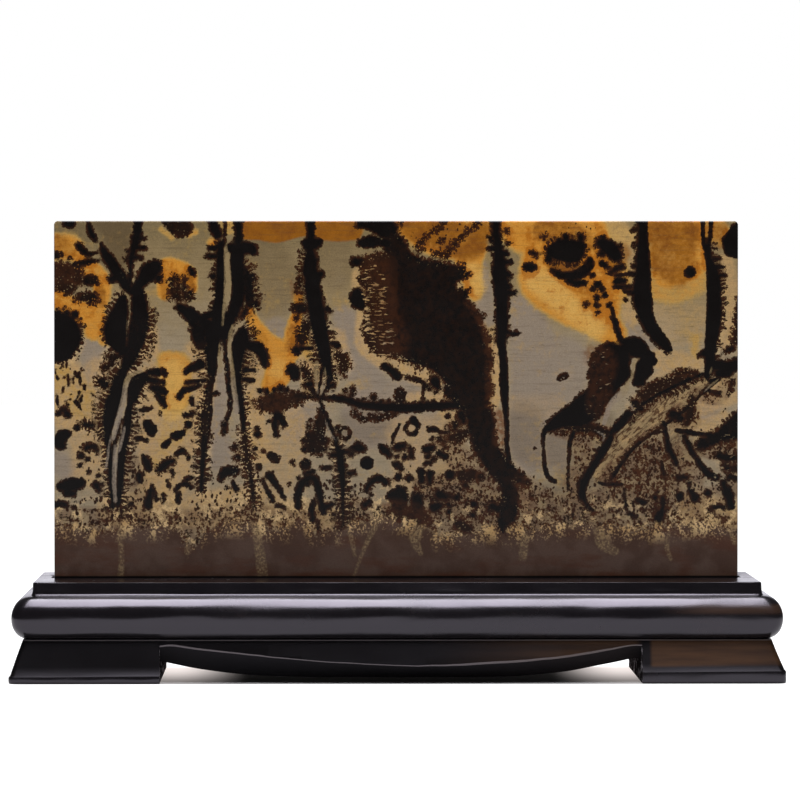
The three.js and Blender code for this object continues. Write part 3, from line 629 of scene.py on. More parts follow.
WASHES: dict[Tint, list[Wash]] = {
    Tint.OCHRE: [
        Wash("4 26 9, 16 26 8, 22 34 4", 0.8), Wash("28 44 6, 40 50, 47 62, 47 76, 42 86 7", 1.0, 6),
        Wash("2 78 6, 14 84 7, 30 92 8, 42 98, 40 110 6", 0.95, 7), Wash("48 112 5, 50 118 4", 0.8, 6),
        Wash("110 72 4, 108 60, 111 46 6, 122 50 9, 134 54 6, 138 66 3", 1.0, 5),
        Wash("107 8 1, 112 13, 118 17 0.5", 0.5, 4), Wash("134 14 0.5, 141 11 1", 0.6, 4),
        Wash("112 140 6, 122 146 11, 121 160 12, 120 176 11", 0.8, 9),
        Wash("120 176 11, 118 192, 124 206 9, 112 222 8, 104 240 5", 0.25, 9),
        Wash("194 90 3, 199 102 4, 205 112 6, 214 122 7, 224 132 10, 226 144 12, 222 156 10, "
             "214 164 5", 1.0, 5), Wash("244 74 2, 243 92 3, 239 106 5, 238 120 7, 234 132 8", 1.0, 5),
        Wash("247 108 3, 250 122, 252 132", 0.5, 5), Wash("264 4 8, 280 5 9, 298 6 7", 0.9, 6),
        Wash("350 2 8, 362 10 10, 378 16 14, 396 18 16, 412 22, 414 40 10, 416 58 6, 420 72 4", 0.95, 7),
        Wash("426 6 10, 430 2 8", 0.8),
        Wash("456 8 10, 468 14 12, 484 18 14, 486 40, 487 56 18, 493 67 17, 508 78 16, 527 88, 546 100 13, "
             "558 112 8", 1.0, 10), Wash("500 8 14, 520 8, 536 14, 542 50, 548 70, 552 88 10"),
        Wash("560 45 6, 566 60, 562 76", 0.7),
        Wash("606 8 14, 620 10 20, 634 14 14, 612 34 16, 632 38 18, 612 52 12", 0.95, 9),
        Wash("604 66 8, 622 68, 640 60", 0.6, 12), Wash("660 8 8, 666 14 6", 0.7),
        Wash("640 118 2, 642 130", 0.4, 9), Wash("158 22 3, 164 27 2", 0.7, 5),
        Wash("172 6 6, 178 8 3", 0.5, 6), Wash("8 162 12, 20 170, 24 184 8", 0.35, 12),
    ],
    Tint.STRAW: [
        Wash("118 150 8, 118 168 10, 118 186 8", 0.7, 9), Wash("482 58 8, 496 70, 540 108 5", 0.85, 10),
        Wash("418 52 6, 422 66 5", 0.8), Wash("560 10 6, 570 16", 0.4), Wash("224 148 6", 0.5),
    ],
    Tint.UMBER: [
        Wash("188 -2 4, 190 8 8, 204 8 9, 220 10 10, 234 8 9, 247 6 8", 1.0, 3.5),
        Wash("606 10 14, 620 14 18, 612 34 14, 622 46 12", 0.75, 16),
        Wash("264 8 8, 282 9 9, 298 9 8", 1.0, 5),
        Wash("360 8 8, 376 8 10, 396 14 12, 414 24 10, 424 8 6", 0.85, 14),
        Wash("498 44 4, 510 45 5, 520 43 4", 0.8, 5), Wash("660 6 10, 664 20 6", 0.5),
        Wash("490 10 8, 510 9, 534 22 4", 0.65, 10), Wash("530 70 4, 536 80", 0.35),
        Wash("568 30 5, 560 44", 0.55), Wash("134 56 3, 137 66", 0.7, 4), Wash("4 24 8, 14 30 6", 0.5, 6),
        Wash("46 70 4, 47 82 3", 0.6, 4), Wash("110 62 3, 112 76", 0.6, 4),
        Wash("204 112 3, 210 120", 0.5, 4), Wash("238 108 3, 236 126 4", 0.5, 5),
    ],
    Tint.RUST: [
        Wash("443 192 3, 444 205 4, 444 220", 0.8, 4), Wash("466 262 5, 470 276, 472 290", 0.5, 7),
        Wash("240 62 3, 241 76 2", 0.5, 4), Wash("322 46 8, 328 70, 330 96 10, 338 120", 0.6, 12),
        Wash("412 80 1, 424 98, 431 116 1.5, 434 134 2, 434 160 1.5, 434 184", 0.8, 4),
        Wash("2 54 8, 20 54 6", 0.5), Wash("206 182 5, 216 182 7, 234 179 5", 0.6, 5),
        Wash("538 134 6, 548 140 10, 546 160 8, 544 184", 0.6), Wash("338 292 10, 366 296 8", 0.7),
    ],
    Tint.TAN: [
        Wash("6 150 14, 16 170 16, 12 190 14", 1.0, 10),
        Wash("44 150 8, 42 176, 30 200 12, 36 226 14, 34 250 10", 0.75, 12),
        Wash("100 160 14, 112 190 20, 110 216 22, 112 244 20, 108 272 18", 0.9, 12),
        Wash("92 110 8, 94 130", 0.9, 6), Wash("142 132 8, 146 160 10, 142 190, 136 220", 0.9, 9),
        Wash("200 140 10, 202 170 8, 200 200, 206 230 10", 0.9),
        Wash("232 200 14, 234 230, 224 256 12", 0.55, 12), Wash("250 120 8, 254 140, 256 168 6", 1.0, 6),
        Wash("282 116 6, 286 140 8", 0.7, 6),
        Wash("306 48 4, 304 62 5, 312 80 6, 308 104 5, 310 124 6, 330 140, 356 150 8, 378 158", 0.9, 5),
        Wash("316 46 8, 322 62 10, 322 80, 320 100, 318 118 8", 1.0, 6),
        Wash("436 114 5, 438 130 4, 440 150, 440 170 5, 438 184 4", 1.0, 4),
        Wash("358 180 6, 392 176 5, 392 192 6, 404 198", 0.8, 6),
        Wash("350 214 14, 372 214 12, 392 214, 360 240 18, 392 240 14, 350 262 10", 0.55, 12),
        Wash("404 60 5, 418 56 4, 420 76", 0.9, 5), Wash("556 12 12, 570 16 8, 574 34 5, 572 48 6", 0.7),
        Wash("570 58 10, 572 74 8, 578 92", 0.8), Wash("668 44 8, 674 70 6, 674 100, 670 120", 0.8, 6),
        Wash("604 138 6, 620 142 8, 640 142 6", 0.8), Wash("604 160 6, 612 150 5", 0.5, 6),
        Wash("670 160 6, 652 176, 640 190 4, 676 176 5", 0.8, 6),
        Wash("626 202 6, 650 206, 668 196 4", 0.7, 6),
        Wash("60 288 12, 110 290, 150 288 14, 200 286 16, 232 292 10, 270 296", 0.8, 10),
        Wash("640 290 14, 664 294 12, 678 296 8", 0.9), Wash("460 182 3, 496 186 8", 0.25, 10),
        Wash("604 84 8, 612 100 12, 628 104, 640 96 8", 0.4, 14),
    ],
    Tint.LILAC: [
        Wash("162 150 4, 164 170 6, 162 192, 164 214 8, 164 236 10", 0.9, 6),
        Wash("40 120 6, 38 132 8, 40 150 6", 0.8), Wash("4 240 8, 12 248", 0.9, 7),
        Wash("98 190 4, 92 196 5", 0.7, 5), Wash("96 226 6", 0.6, 6),
        Wash("256 190 8, 244 196, 240 210", 0.9), Wash("222 108 8, 224 114 5", 0.8),
        Wash("290 96 8, 294 116 7, 302 146 10, 316 162 12, 304 208, 330 210 10, 352 196 6, 296 192", 0.9),
        Wash("356 168 8, 330 168", 0.8, 6), Wash("376 196 6, 366 224 5, 362 240 6", 0.7, 6),
        Wash("424 46 5, 430 64, 430 84 7, 432 98 6", 0.8, 6),
        Wash("464 84 6, 474 106 14, 480 130 20, 484 160 24, 480 190 20, 472 218 14, 474 238 10", 0.9, 9),
        Wash("502 130 12, 518 140, 512 166", 0.8, 10), Wash("502 220 8, 502 240", 0.8, 6),
        Wash("650 190 9, 656 184 8", 0.9, 5), Wash("572 108 8, 584 116 6, 594 124 4", 0.8, 6),
    ],
    Tint.SHADE: [
        Wash("50 -4 10, 64 8 12, 68 26, 60 34 8", 0.75, 14), Wash("10 10 14, 24 12 10", 0.35, 12),
        Wash("200 30 12, 216 44 16, 224 66, 214 76 12", 0.35, 16), Wash("276 30 14, 282 50 12", 0.3, 14),
        Wash("470 200 12, 474 224, 502 230 10", 0.35, 14), Wash("300 206 12, 330 208 8", 0.3, 12),
        Wash("520 262 12, 560 250 18, 600 248 20, 620 230 14", 0.55, 18),
        Wash("400 270 20, 440 280 16, 490 286 14, 540 284 18", 0.5, 20),
        Wash("548 206 10, 534 224 12, 524 244 10", 0.5, 12),
    ],
    Tint.FLECK: [
        Wash("38 214 6, 40 232 10, 38 250 8", 0.5, 7), Wash("76 236 8, 80 250 9, 82 270, 76 286 8", 0.7, 6),
        Wash("20 290 12, 44 290, 68 292 8, 90 294", 0.75),
        Wash("128 294 8, 144 290 10, 166 284 12, 186 284 10, 206 280 12", 0.62),
        Wash("140 246 6, 156 250, 150 268 8", 0.5, 6), Wash("232 294 8, 244 296 4", 0.5, 6),
        Wash("276 266 8, 280 284, 300 270, 306 290 10", 0.68),
        Wash("340 248 8, 352 244 6, 344 226 8", 0.45, 6),
        Wash("396 226 8, 406 238 9, 396 262 10, 420 262 8", 0.62),
        Wash("380 280 10, 400 288 12, 426 280, 434 296 10", 0.68), Wash("404 196 6, 402 206", 0.55, 5),
        Wash("312 52 4, 318 76 6, 318 104, 324 124, 350 142, 372 152", 0.5, 5),
        Wash("356 18 6, 372 24 8, 392 30 6, 392 8, 412 8 4", 0.5, 6),
        Wash("500 8 8, 532 6, 534 24 4", 0.3, 6), Wash("560 44 5, 566 58", 0.4, 5),
        Wash("476 262 6, 486 276 10, 512 278, 536 276 12, 556 276", 0.66),
        Wash("570 250 12, 584 240, 596 228 8, 598 254 14, 590 272 10", 0.7),
        Wash("612 270 10, 628 266 12, 626 246 8, 650 262", 0.62),
        Wash("664 226 8, 676 232, 672 244 6", 0.72, 6), Wash("530 216 8, 536 228 6, 526 242", 0.66, 6),
        Wash("610 286 10, 580 290, 560 294 8", 0.6), Wash("646 292 8, 668 292", 0.4, 6),
        Wash("630 212 4, 648 210 5, 662 202 4, 674 190", 0.55, 4), Wash("676 150 4, 674 164 5", 0.5, 5),
        Wash("196 240 6, 198 258 8, 198 276", 0.6, 6),
    ],
    Tint.GRAVEL: [
        Wash("0 298 9, 40 298 8, 80 300 7, 110 300, 150 298 8, 200 294, 240 300 7, 270 298 8", 0.65, 10),
        Wash("76 240 6, 80 258 8, 82 276 9, 76 290", 0.6),
        Wash("300 290 10, 316 294 8, 344 296 10, 372 300", 0.9, 10),
        Wash("372 266 8, 392 276 14, 412 284 16, 438 296 14", 1.0, 12),
        Wash("400 206 6, 396 224 8, 408 240 10, 420 262 12, 432 276 8", 0.85, 9),
        Wash("468 266 6, 480 282 12, 504 290, 530 288, 552 286", 0.85, 12),
        Wash("562 256 12, 580 244 14, 592 228 10, 602 250 16, 590 272, 610 282 12", 1.0, 9),
        Wash("626 232 6, 636 256 10, 626 276, 656 280, 676 268 6", 0.75, 9),
        Wash("646 226 5, 660 228 8, 678 228, 676 244", 1.0, 6),
        Wash("586 182 6, 600 170 8, 618 160 6, 634 154 4", 1.0, 7),
        Wash("498 208 3, 520 211 6, 540 213 7, 552 214 6", 0.95, 7),
        Wash("526 222 7, 530 240, 520 262 8", 0.75), Wash("620 196 8, 634 188 7, 638 200 5", 0.9, 6),
        Wash("594 216 5, 604 210", 0.9, 5), Wash("640 172 4, 662 176 5, 676 160", 0.75, 6),
    ],
    Tint.STREAK: [
        Wash("316 50 6, 319 64 9, 319 80, 320 96, 324 108 11, 332 116 7", 0.95),
        Wash("314 127 1, 328 133, 346 138, 358 143", 0.9, 4),
        Wash("546 132 6, 546 150 9, 545 168 8, 538 188 6", 0.5, 7), Wash("12 48 8, 14 62 7", 0.35, 6),
        Wash("672 222 8, 676 238, 664 252 5", 0.8, 6),
    ],
    Tint.LOG: [
        Wash("653 159 4, 644 165 7, 634 172 8.5, 624 179 9.5, 611 187 10, 597 196 11, 584 206, 572 218 10, "
             "562 231 9, 553 243 8, 547 255 7", 1.0, 2.5),
        Wash("617 205 3, 620 216 4, 622 227 3.5, 627 238 3, 632 246 2", 0.7, 2.5),
    ],
}

# How far apart in its fringe's pattern each growth starts, and each side of a stem
FRINGE_SHIFT = 37.0
SIDE_SHIFT = 400.0

# Where the plain brown ground begins, across and down
FLOOR_EDGE: str = (
    "-10 303, 25 307, 50 308, 70 301, 95 304, 122 302, 128 318, 140 322, 150 308, 170 300, 195 300, "
    "215 306, 235 305, 246 292, 256 309, 285 307, 310 298, 330 296, 350 300, 372 304, 384 318, 400 312, "
    "430 307, 460 308, 500 304, 540 300, 580 309, 620 303, 640 302, 655 303, 700 312")

# Pale lines in the brown ground
GROUND_VEINS: list[str] = [
    "64 298 2.5, 66 318, 67 338, 66 356 3", "199 298 4, 203 318, 206 338 5, 208 356",
    "331 284 2, 325 297 2.5, 317 311 2.6, 310 326 1.8, 304 341 1.2, 299 356 1",
    "292 303 1.5, 297 318 2, 300 334 1.5", "142 300 6, 136 314 3.5, 133 330 3",
    "366 302 6, 360 318 5, 366 332 2", "543 306 5, 548 322 6, 560 330 4", "470 316 4, 468 336",
    "636 300 1.6, 638 312 1.8, 634 318 1", "676 308 3, 680 322 2", "614 312 1.5, 612 326 2, 616 338 1.5",
]


def nearest_on_run(run: np.ndarray, u: np.ndarray, v: np.ndarray) -> tuple[np.ndarray, ...]:
    """Measures points against a run of varying half width.

    Args:
        run: the run's points, (across, down, half width).
        u, v: the points to measure, across and down.

    Returns:
        The distance outside the run's edge, the distance along the run, and the side, 1 or -1.
    """
    depth = np.full(u.shape, np.inf)
    along = np.zeros(u.shape)
    side = np.ones(u.shape)
    if len(run) == 1:
        du, dv = u - run[0, 0], v - run[0, 1]
        depth = np.hypot(du, dv) - run[0, 2]
        return depth, np.arctan2(dv, du) * (run[0, 2] + 3), side
    start = 0.0
    for (u0, v0, r0), (u1, v1, r1) in zip(run[:-1], run[1:]):
        length = max(math.hypot(u1 - u0, v1 - v0), 1e-6)
        tu, tv = (u1 - u0) / length, (v1 - v0) / length
        ahead = (u - u0) * tu + (v - v0) * tv
        across = tu * (v - v0) - tv * (u - u0)
        held = np.clip(ahead, 0, length)
        radius = r0 + (r1 - r0) * held / length
        distance = np.hypot(u - u0 - tu * held, v - v0 - tv * held) - radius
        fan = np.arctan2(ahead - held, np.abs(across) + 1e-6) * (radius + 3)
        closer = distance < depth
        depth = np.where(closer, distance, depth)
        along = np.where(closer, start + held + fan, along)
        side = np.where(closer, np.where(across > 0, 1.0, -1.0), side)
        start += length
    return depth, along, side


def inside_outline(outline: np.ndarray, u: np.ndarray, v: np.ndarray) -> np.ndarray:
    """Finds the points inside a closed outline.

    Args:
        outline: its points, (across, down).
        u, v: the points to look at, across and down.

    Returns:
        Whether each point lies inside.
    """
    inside = np.zeros(u.shape, dtype=bool)
    for (u0, v0), (u1, v1) in zip(outline, np.roll(outline, -1, axis=0)):
        if v0 == v1:
            continue
        crosses = (v0 > v) != (v1 > v)
        inside ^= crosses & (u < (u1 - u0) * (v - v0) / (v1 - v0) + u0)
    return inside


@dataclass
class PictureFields:
    """The picture worked out at a set of points on the slab's face, in face units.

    depth is the distance outside the nearest dark growth, negative within it. along and depth
    are the directions in which a growth's fringe is broken up, reach is how far it spreads.
    """

    u: np.ndarray
    v: np.ndarray
    far: float = 40.0
    vein_far: float = 12.0
    deepest: float = 60.0
    depth: np.ndarray = field(init=False)
    along: np.ndarray = field(init=False)
    reach: np.ndarray = field(init=False)
    warmth: np.ndarray = field(init=False)
    tints: dict[Tint, np.ndarray] = field(init=False)

    def __post_init__(self) -> None:
        """Starts every field empty, then lays in the growths and the washes."""
        self.depth = np.full(self.u.shape, self.far)
        self.along = np.zeros(self.u.shape)
        self.reach = np.full(self.u.shape, Stem.reach)
        self.warmth = np.zeros(self.u.shape)
        self.tints = {tint: np.zeros(self.u.shape) for tint in Tint}
        growths = (*LEFT_GROWTHS, *TWIN_STEM_GROWTHS, *CROSSING_GROWTHS, *FEATHER_GROWTHS, *RIGHT_GROWTHS)
        for number, growth in enumerate(growths):
            if isinstance(growth, Stem):
                self._add_stem(growth, number)
            else:
                self._add_patch(growth, number)
        for tint, washes in WASHES.items():
            for wash in washes:
                self._add_wash(self.tints[tint], wash)

    def _near(self, points: np.ndarray, margin: float) -> np.ndarray:
        """The points within a margin of a run's or an outline's box."""
        low, high = points[:, :2].min(0) - margin, points[:, :2].max(0) + margin
        return np.flatnonzero((self.u > low[0]) & (self.u < high[0]) & (self.v > low[1]) & (self.v < high[1]))

    def _keep_nearest(self, near: np.ndarray, depth: np.ndarray, along: np.ndarray, reach: np.ndarray,
                      warmth: float) -> None:
        """Lets a growth claim the points that it covers, or whose fringe it fills best.

        Args:
            near: the numbers of the points to look at.
            depth, along, reach: the growth's own fields at those points.
            warmth: how brown it is.
        """
        rank = np.where(depth < 0, depth, depth / reach)
        known = self.depth[near]
        rank_known = np.where(known < 0, known, known / self.reach[near])
        best = rank < rank_known
        chosen = near[best]
        self.depth[chosen] = depth[best]
        self.along[chosen] = along[best]
        self.reach[chosen] = reach[best]
        self.warmth[chosen] = warmth

    def _add_stem(self, stem: Stem, number: int) -> None:
        """Lays in one stem.

        Args:
            stem: the stem.
            number: its place among the growths, which varies its fringe.
        """
        run = through(spots(stem.points))
        near = self._near(run, self.far)
        depth, along, side = nearest_on_run(run, self.u[near], self.v[near])
        reach = np.where(side > 0, *np.broadcast_to(stem.reach, 2))
        self._keep_nearest(near, depth, along + FRINGE_SHIFT * number + SIDE_SHIFT * side, reach, stem.warmth)

    def _add_patch(self, patch: Patch, number: int) -> None:
        """Lays in one outlined area.

        Args:
            patch: the area.
            number: its place among the growths, which varies its fringe.
        """
        outline = spots(patch.outline)
        closed = np.vstack([outline, outline[:1]])
        run = np.column_stack([closed, np.zeros(len(closed))])
        near = self._near(closed, self.far)
        u, v = self.u[near], self.v[near]
        depth, along, _ = nearest_on_run(run, u, v)
        depth = np.where(inside_outline(outline, u, v), -depth, depth)
        along = along + FRINGE_SHIFT * number
        self._keep_nearest(near, depth, along, np.full(u.shape, patch.reach), patch.warmth)

    def _add_wash(self, known: np.ndarray, wash: Wash) -> None:
        """Lays one soft wash into its tint.

        Args:
            known: the tint's amounts so far, which it changes.
            wash: the wash.
        """
        run = through(spots(wash.points))
        near = self._near(run, self.far)
        depth, _, _ = nearest_on_run(run, self.u[near], self.v[near])
        share = np.clip(1 - depth / wash.soft, 0, 1)
        share = wash.amount * share * share * (3 - 2 * share)
        known[near] = np.maximum(known[near], share)

    def vein_distance(self, veins: Sequence[str]) -> np.ndarray:
        """Measures the points against pale veins.

        Args:
            veins: the points of each.

        Returns:
            The distance outside the nearest, up to a limit.
        """
        least = np.full(self.u.shape, self.vein_far)
        for vein in veins:
            run = through(spots(vein))
            near = self._near(run, self.vein_far + 2)
            depth, _, _ = nearest_on_run(run, self.u[near], self.v[near])
            least[near] = np.minimum(least[near], depth)
        return least

    def ground(self) -> np.ndarray:
        """How far below the ragged top of the plain brown ground each point lies."""
        across, down = spots(FLOOR_EDGE).T
        return np.clip(self.v - np.interp(self.u, across, down), -self.far, self.deepest)


@dataclass(frozen=True)
class StonePalette:
    """The stone's colours."""

    top_stone: Colour = srgb(104, 90, 62)
    olive: Colour = srgb(128, 110, 78)
    grey: Colour = srgb(136, 122, 99)
    lilac: Colour = srgb(128, 115, 101)
    dark_stone: Colour = srgb(70, 55, 37)
    tan: Colour = srgb(168, 136, 90)
    cream: Colour = srgb(200, 170, 122)
    olive_tan: Colour = srgb(160, 128, 70)
    ochre: Colour = srgb(180, 123, 45)
    straw: Colour = srgb(192, 152, 80)
    orange: Colour = srgb(152, 88, 18)
    umber: Colour = srgb(130, 80, 20)
    rust: Colour = srgb(96, 52, 22)
    black: Colour = srgb(12, 9, 8)
    warm_black: Colour = srgb(30, 16, 9)
    edge_brown: Colour = srgb(60, 32, 16)
    grain_brown: Colour = srgb(96, 70, 50)
    ground: Colour = srgb(63, 43, 33)
    ground_grey: Colour = srgb(76, 57, 47)
    ground_red: Colour = srgb(68, 38, 24)
    log: Colour = srgb(136, 115, 82)


@dataclass(frozen=True)
class PolishedStone:
    """The slab's finish: pale stone with dark mineral growths, cut flat and polished.

    unit is the size of a face unit, and ledge_top the height to which the stand hides the slab.
    """

    unit: float
    palette: StonePalette = StonePalette()
    gloss: float = 0.16
    ledge_top: float = 43.3 * MM

    def material(self) -> bpy.types.Material:
        """Builds the material from the fields stored on the mesh."""
        bench = Bench(bpy.data.materials.new("polished_picture_stone"))
        place = bench.scaled(bench.place(), *(1 / self.unit,) * 3)
        nibble = bench.noise(place, 0.5, 2)
        colour = self._pale_stone(bench, place)
        colour = self._gravel(bench, place, colour)
        colour = self._growth(bench, place, colour, nibble)
        colour = self._veins(bench, place, colour)
        colour = self._ground(bench, place, colour)
        grain = bench.noise(place, 0.8, 5, 0.6)
        colour = bench.mix(0.5, colour, bench.step(grain, 0.25, 0.75, 0.68, 1.3), "MULTIPLY")
        ripple = {"Strength": 0.05, "Distance": 0.0002, "Height": grain}
        rough = bench.step(bench.noise(place, 0.05, 3), 0.3, 0.7, self.gloss - 0.03, self.gloss + 0.05)
        return bench.finish(colour, {"Specular IOR Level": 0.13, "IOR": 1.5, "Roughness": rough,
                                     "Normal": bench.wire("ShaderNodeBump", 0, None, ripple)})

    def _pale_stone(self, bench: Bench, place: Wire) -> Wire:
        """The stone between the growths: greys, tans and ochres in soft washes and fine beds.

        Args:
            bench, place: the material, and the point's place in face units.

        Returns:
            The colour.
        """
        colours = self.palette
        height = bench.part(place, "Z")
        depth = bench.attribute("growth_depth")
        clouds = bench.noise(place, 0.04, 4, 0.6)
        fine = bench.noise(place, 0.22, 4)
        raised = height + (clouds - 0.5) * 120
        colour = bench.mix(bench.step(raised, 290, 400), colours.grey, colours.olive)
        colour = bench.mix(bench.step(raised, 385, 470, 0.0, 0.85), colour, colours.top_stone)
        colour = bench.mix(bench.attribute("tint_lilac") * 0.9, colour, colours.lilac)
        colour = bench.mix(bench.attribute("tint_shade") * 0.85, colour, colours.dark_stone)
        tan = bench.attribute("tint_tan") * bench.step(fine, 0.25, 0.65, 0.45, 1.0)
        colour = bench.mix(tan, colour, colours.tan)
        low = bench.step(height, 400, 300, 0.12, 0.75)
        wide = bench.step(bench.attribute("growth_reach"), 2.5, 8.0, 0.12, 1.0)
        halo = bench.step(depth, 0.5, 8.0, 1.0, 0.0) * low * wide * bench.step(fine, 0.3, 0.7, 0.35, 1.0)
        colour = bench.mix(halo, colour, colours.cream)
        ragged = (clouds - 0.5) * 0.9 + (fine - 0.5) * 0.7
        warm = bench.attribute("tint_ochre") + ragged
        colour = bench.mix(bench.step(warm, 0.0, 0.55), colour, colours.olive_tan)
        colour = bench.mix(bench.step(warm, 0.3, 1.05), colour, colours.ochre)
        straw = bench.attribute("tint_straw") * bench.step(fine, 0.25, 0.6, 0.4, 1.0)
        colour = bench.mix(straw, colour, colours.straw)
        patches = bench.noise(place, 0.055, 4, 0.65)
        near = bench.step(depth, 1.0, 9.0, 0.45, 0.0)
        amber = bench.step(warm + near + (patches - 0.5) * 1.6, 1.0, 1.45) * bench.step(warm, 0.25, 0.5)
        colour = bench.mix(amber * 0.8, colour, colours.orange)
        umber = bench.step(bench.attribute("tint_umber") + ragged * 0.45 + (patches - 0.5) * 0.7, 0.1, 0.95)
        brown = bench.mix(bench.step(patches, 0.42, 0.68, 0.0, 0.5), colours.umber, colours.rust)
        colour = bench.mix(umber, colour, brown)
        rust = bench.attribute("tint_rust") * bench.step(fine, 0.3, 0.6)
        colour = bench.mix(rust, colour, colours.rust)
        beds = bench.noise(bench.scaled(place, 0.03, 0.2, 0.45), 1.0, 3)
        colour = bench.mix(bench.step(beds, 0.48, 0.75, 0.0, 0.3), colour, colours.dark_stone)
        dashes = bench.noise(bench.scaled(place, 0.16, 0.3, 1.3), 1.0, 2)
        colour = bench.mix(bench.step(dashes, 0.65, 0.73, 0.0, 0.5), colour, colours.dark_stone)
        return bench.mix(bench.attribute("tint_log"), colour, self._log(bench, place))

    def _log(self, bench: Bench, place: Wire) -> Wire:
        """The pale bars that cross the lower right, grained along their length.

        Args:
            bench, place: the material, and the point's place in face units.

        Returns:
            The colour.
        """
        colours = self.palette
        turned = bench.wire("ShaderNodeVectorRotate", 0, {"rotation_type": "Y_AXIS"},
                            {"Vector": place, "Angle": math.radians(42)})
        grain = bench.noise(bench.scaled(turned, 0.07, 0.3, 0.28), 1.0, 5, 0.68)
        blots = bench.noise(bench.scaled(turned, 0.16, 0.3, 0.4), 1.0, 4, 0.65)
        bar = bench.mix(bench.step(grain, 0.3, 0.5), colours.dark_stone, colours.log)
        bar = bench.mix(bench.step(grain, 0.5, 0.68, 0.0, 0.6), bar, colours.tan)
        return bench.mix(bench.step(blots, 0.5, 0.58, 0.0, 0.85), bar, colours.edge_brown)

    def _gravel(self, bench: Bench, place: Wire, colour: Wire) -> Wire:
        """Zones where dark brown grains crowd together and leave tan between them.

        Args:
            bench, place: the material, and the point's place in face units.
            colour: what lies under.

        Returns:
            The colour.
        """
        colours = self.palette
        by_ground = bench.step(bench.attribute("ground_depth"), -26.0, -4.0, 0.0, 1.0)
        amount = bench.attribute("tint_gravel").at_least(by_ground)
        lit = bench.step(bench.attribute("ground_depth"), -39.0, -14.0)
        lit = lit * bench.step(bench.noise(place, 0.1, 4, 0.65), 0.48, 0.6, 0.0, 0.85)
        colour = bench.mix(lit, colour, colours.cream)
        grains = bench.noise(place, 0.4, 4, 0.7, 0.3) * 0.55 + bench.noise(place, 0.13, 3, 0.6) * 0.45
        tone = bench.noise(place, 0.09, 4, 0.6)
        bright = bench.mix(bench.step(tone, 0.4, 0.66), colours.grain_brown, colours.log)
        colour = bench.mix(bench.step(amount, 0.1, 0.7, 0.0, 0.6) * (1 - lit), colour, bright)
        dark = bench.mix(bench.step(tone, 0.34, 0.54), colours.warm_black, colours.edge_brown)
        edge = 0.63 - amount * 0.15
        share = bench.step(grains, edge, edge + 0.03) * bench.step(amount, 0.02, 0.2)
        return bench.mix(share, colour, dark)

    def _growth(self, bench: Bench, place: Wire, stone: Wire, nibble: Wire) -> Wire:
        """The dark growths, their edges broken into rounded lobes with narrow clefts between.

        Args:
            bench, place: the material, and the point's place in face units.
            stone: what lies under.
            nibble: fine noise that frets their edges.

        Returns:
            The colour.
        """
        colours = self.palette
        depth = bench.attribute("growth_depth")
        reach = bench.attribute("growth_reach")
        warmth = bench.attribute("growth_warmth")
        mottle = bench.noise(place, 0.14, 5, 0.65)
        run = bench.attribute("growth_along") * 0.21 + (bench.noise(place, 0.1, 4, 0.7) - 0.5) * 3.6
        tooth = bench.wire("ShaderNodeSeparateColor", 0, None, {0: bench.row(run, "Color")})
        hump = bench.row(run)
        length = reach - (1 - tooth) * (reach * 0.75).at_most(9.0)
        knobs = (bench.cells(place, 0.26) - 0.46) * (reach * 0.8 + 0.7).at_most(6.5)
        margin = bench.step(reach, 0.9, 3.0, 0.1, 0.9) + (nibble - 0.5) * 0.9
        tip = length + margin - hump * hump * (reach * 1.1 + 0.2).at_most(6.0) - knobs - depth
        width = bench.step(reach, 2.0, 9.0, 0.02, 0.17) + (mottle - 0.5) * 0.9
        width = width * bench.step(bench.noise(place, 0.075, 2), 0.4, 0.58, 0.2, 1.0)
        share = bench.step(tip, -0.35, 0.45) * self._clefts(bench, run, depth, length, reach, width)
        split = bench.step(reach, 6.0, 11.0) * width
        share = share * self._clefts(bench, run * 2.1, depth - reach * 0.45, length, reach, split)
        dots = bench.cells(bench.scaled(place, 1, 1, 0.66), 0.25)
        loose = bench.noise(place, 0.1, 3)
        edge = bench.attribute("tint_fleck") * 0.7 + (loose - 0.5) * 0.6 - 0.1
        speck = bench.step(dots + (nibble - 0.5) * 0.7, edge - 0.06, edge + 0.02, 1.0, 0.0)
        speck = speck * bench.step(bench.attribute("tint_fleck"), 0.04, 0.2)
        share = share.at_least(speck)
        pinholes = bench.step(bench.cells(place, 0.36) + (nibble - 0.5) * 0.4, 0.17, 0.26, 1.0, 0.0)
        pinholes = pinholes * bench.step(warmth + (loose - 0.5), 0.35, 0.6) * bench.step(depth, -7.0, -1.0)
        share = share * (1 - pinholes)
        streaks = bench.noise(bench.scaled(place, 0.12, 0.2, 0.5), 1.0, 4, 0.6, 0.5)
        streak = bench.attribute("tint_streak") * bench.step(loose, 0.3, 0.6, 0.45, 1.0)
        edge = 0.72 - streak * 0.2
        share = share * (1 - bench.step(streaks, edge, edge + 0.035) * bench.step(streak, 0.05, 0.3))
        warm = bench.step(warmth + (mottle - 0.5) * 1.1, 0.2, 0.75)
        rim = bench.step(depth + (mottle - 0.5) * 4, -2.2, 1.8) * (warmth + 0.6).at_most(1.0)
        colour = bench.mix(warm.at_least(rim * 0.8), colours.black, colours.warm_black)
        colour = bench.mix(rim * bench.step(mottle, 0.38, 0.6, 0.15, 0.95), colour, colours.edge_brown)
        ember = bench.attribute("tint_rust") * bench.step(mottle, 0.36, 0.6, 0.2, 0.85)
        colour = bench.mix(ember.at_most(1.0), colour, colours.edge_brown)
        return bench.mix(share, stone, colour)

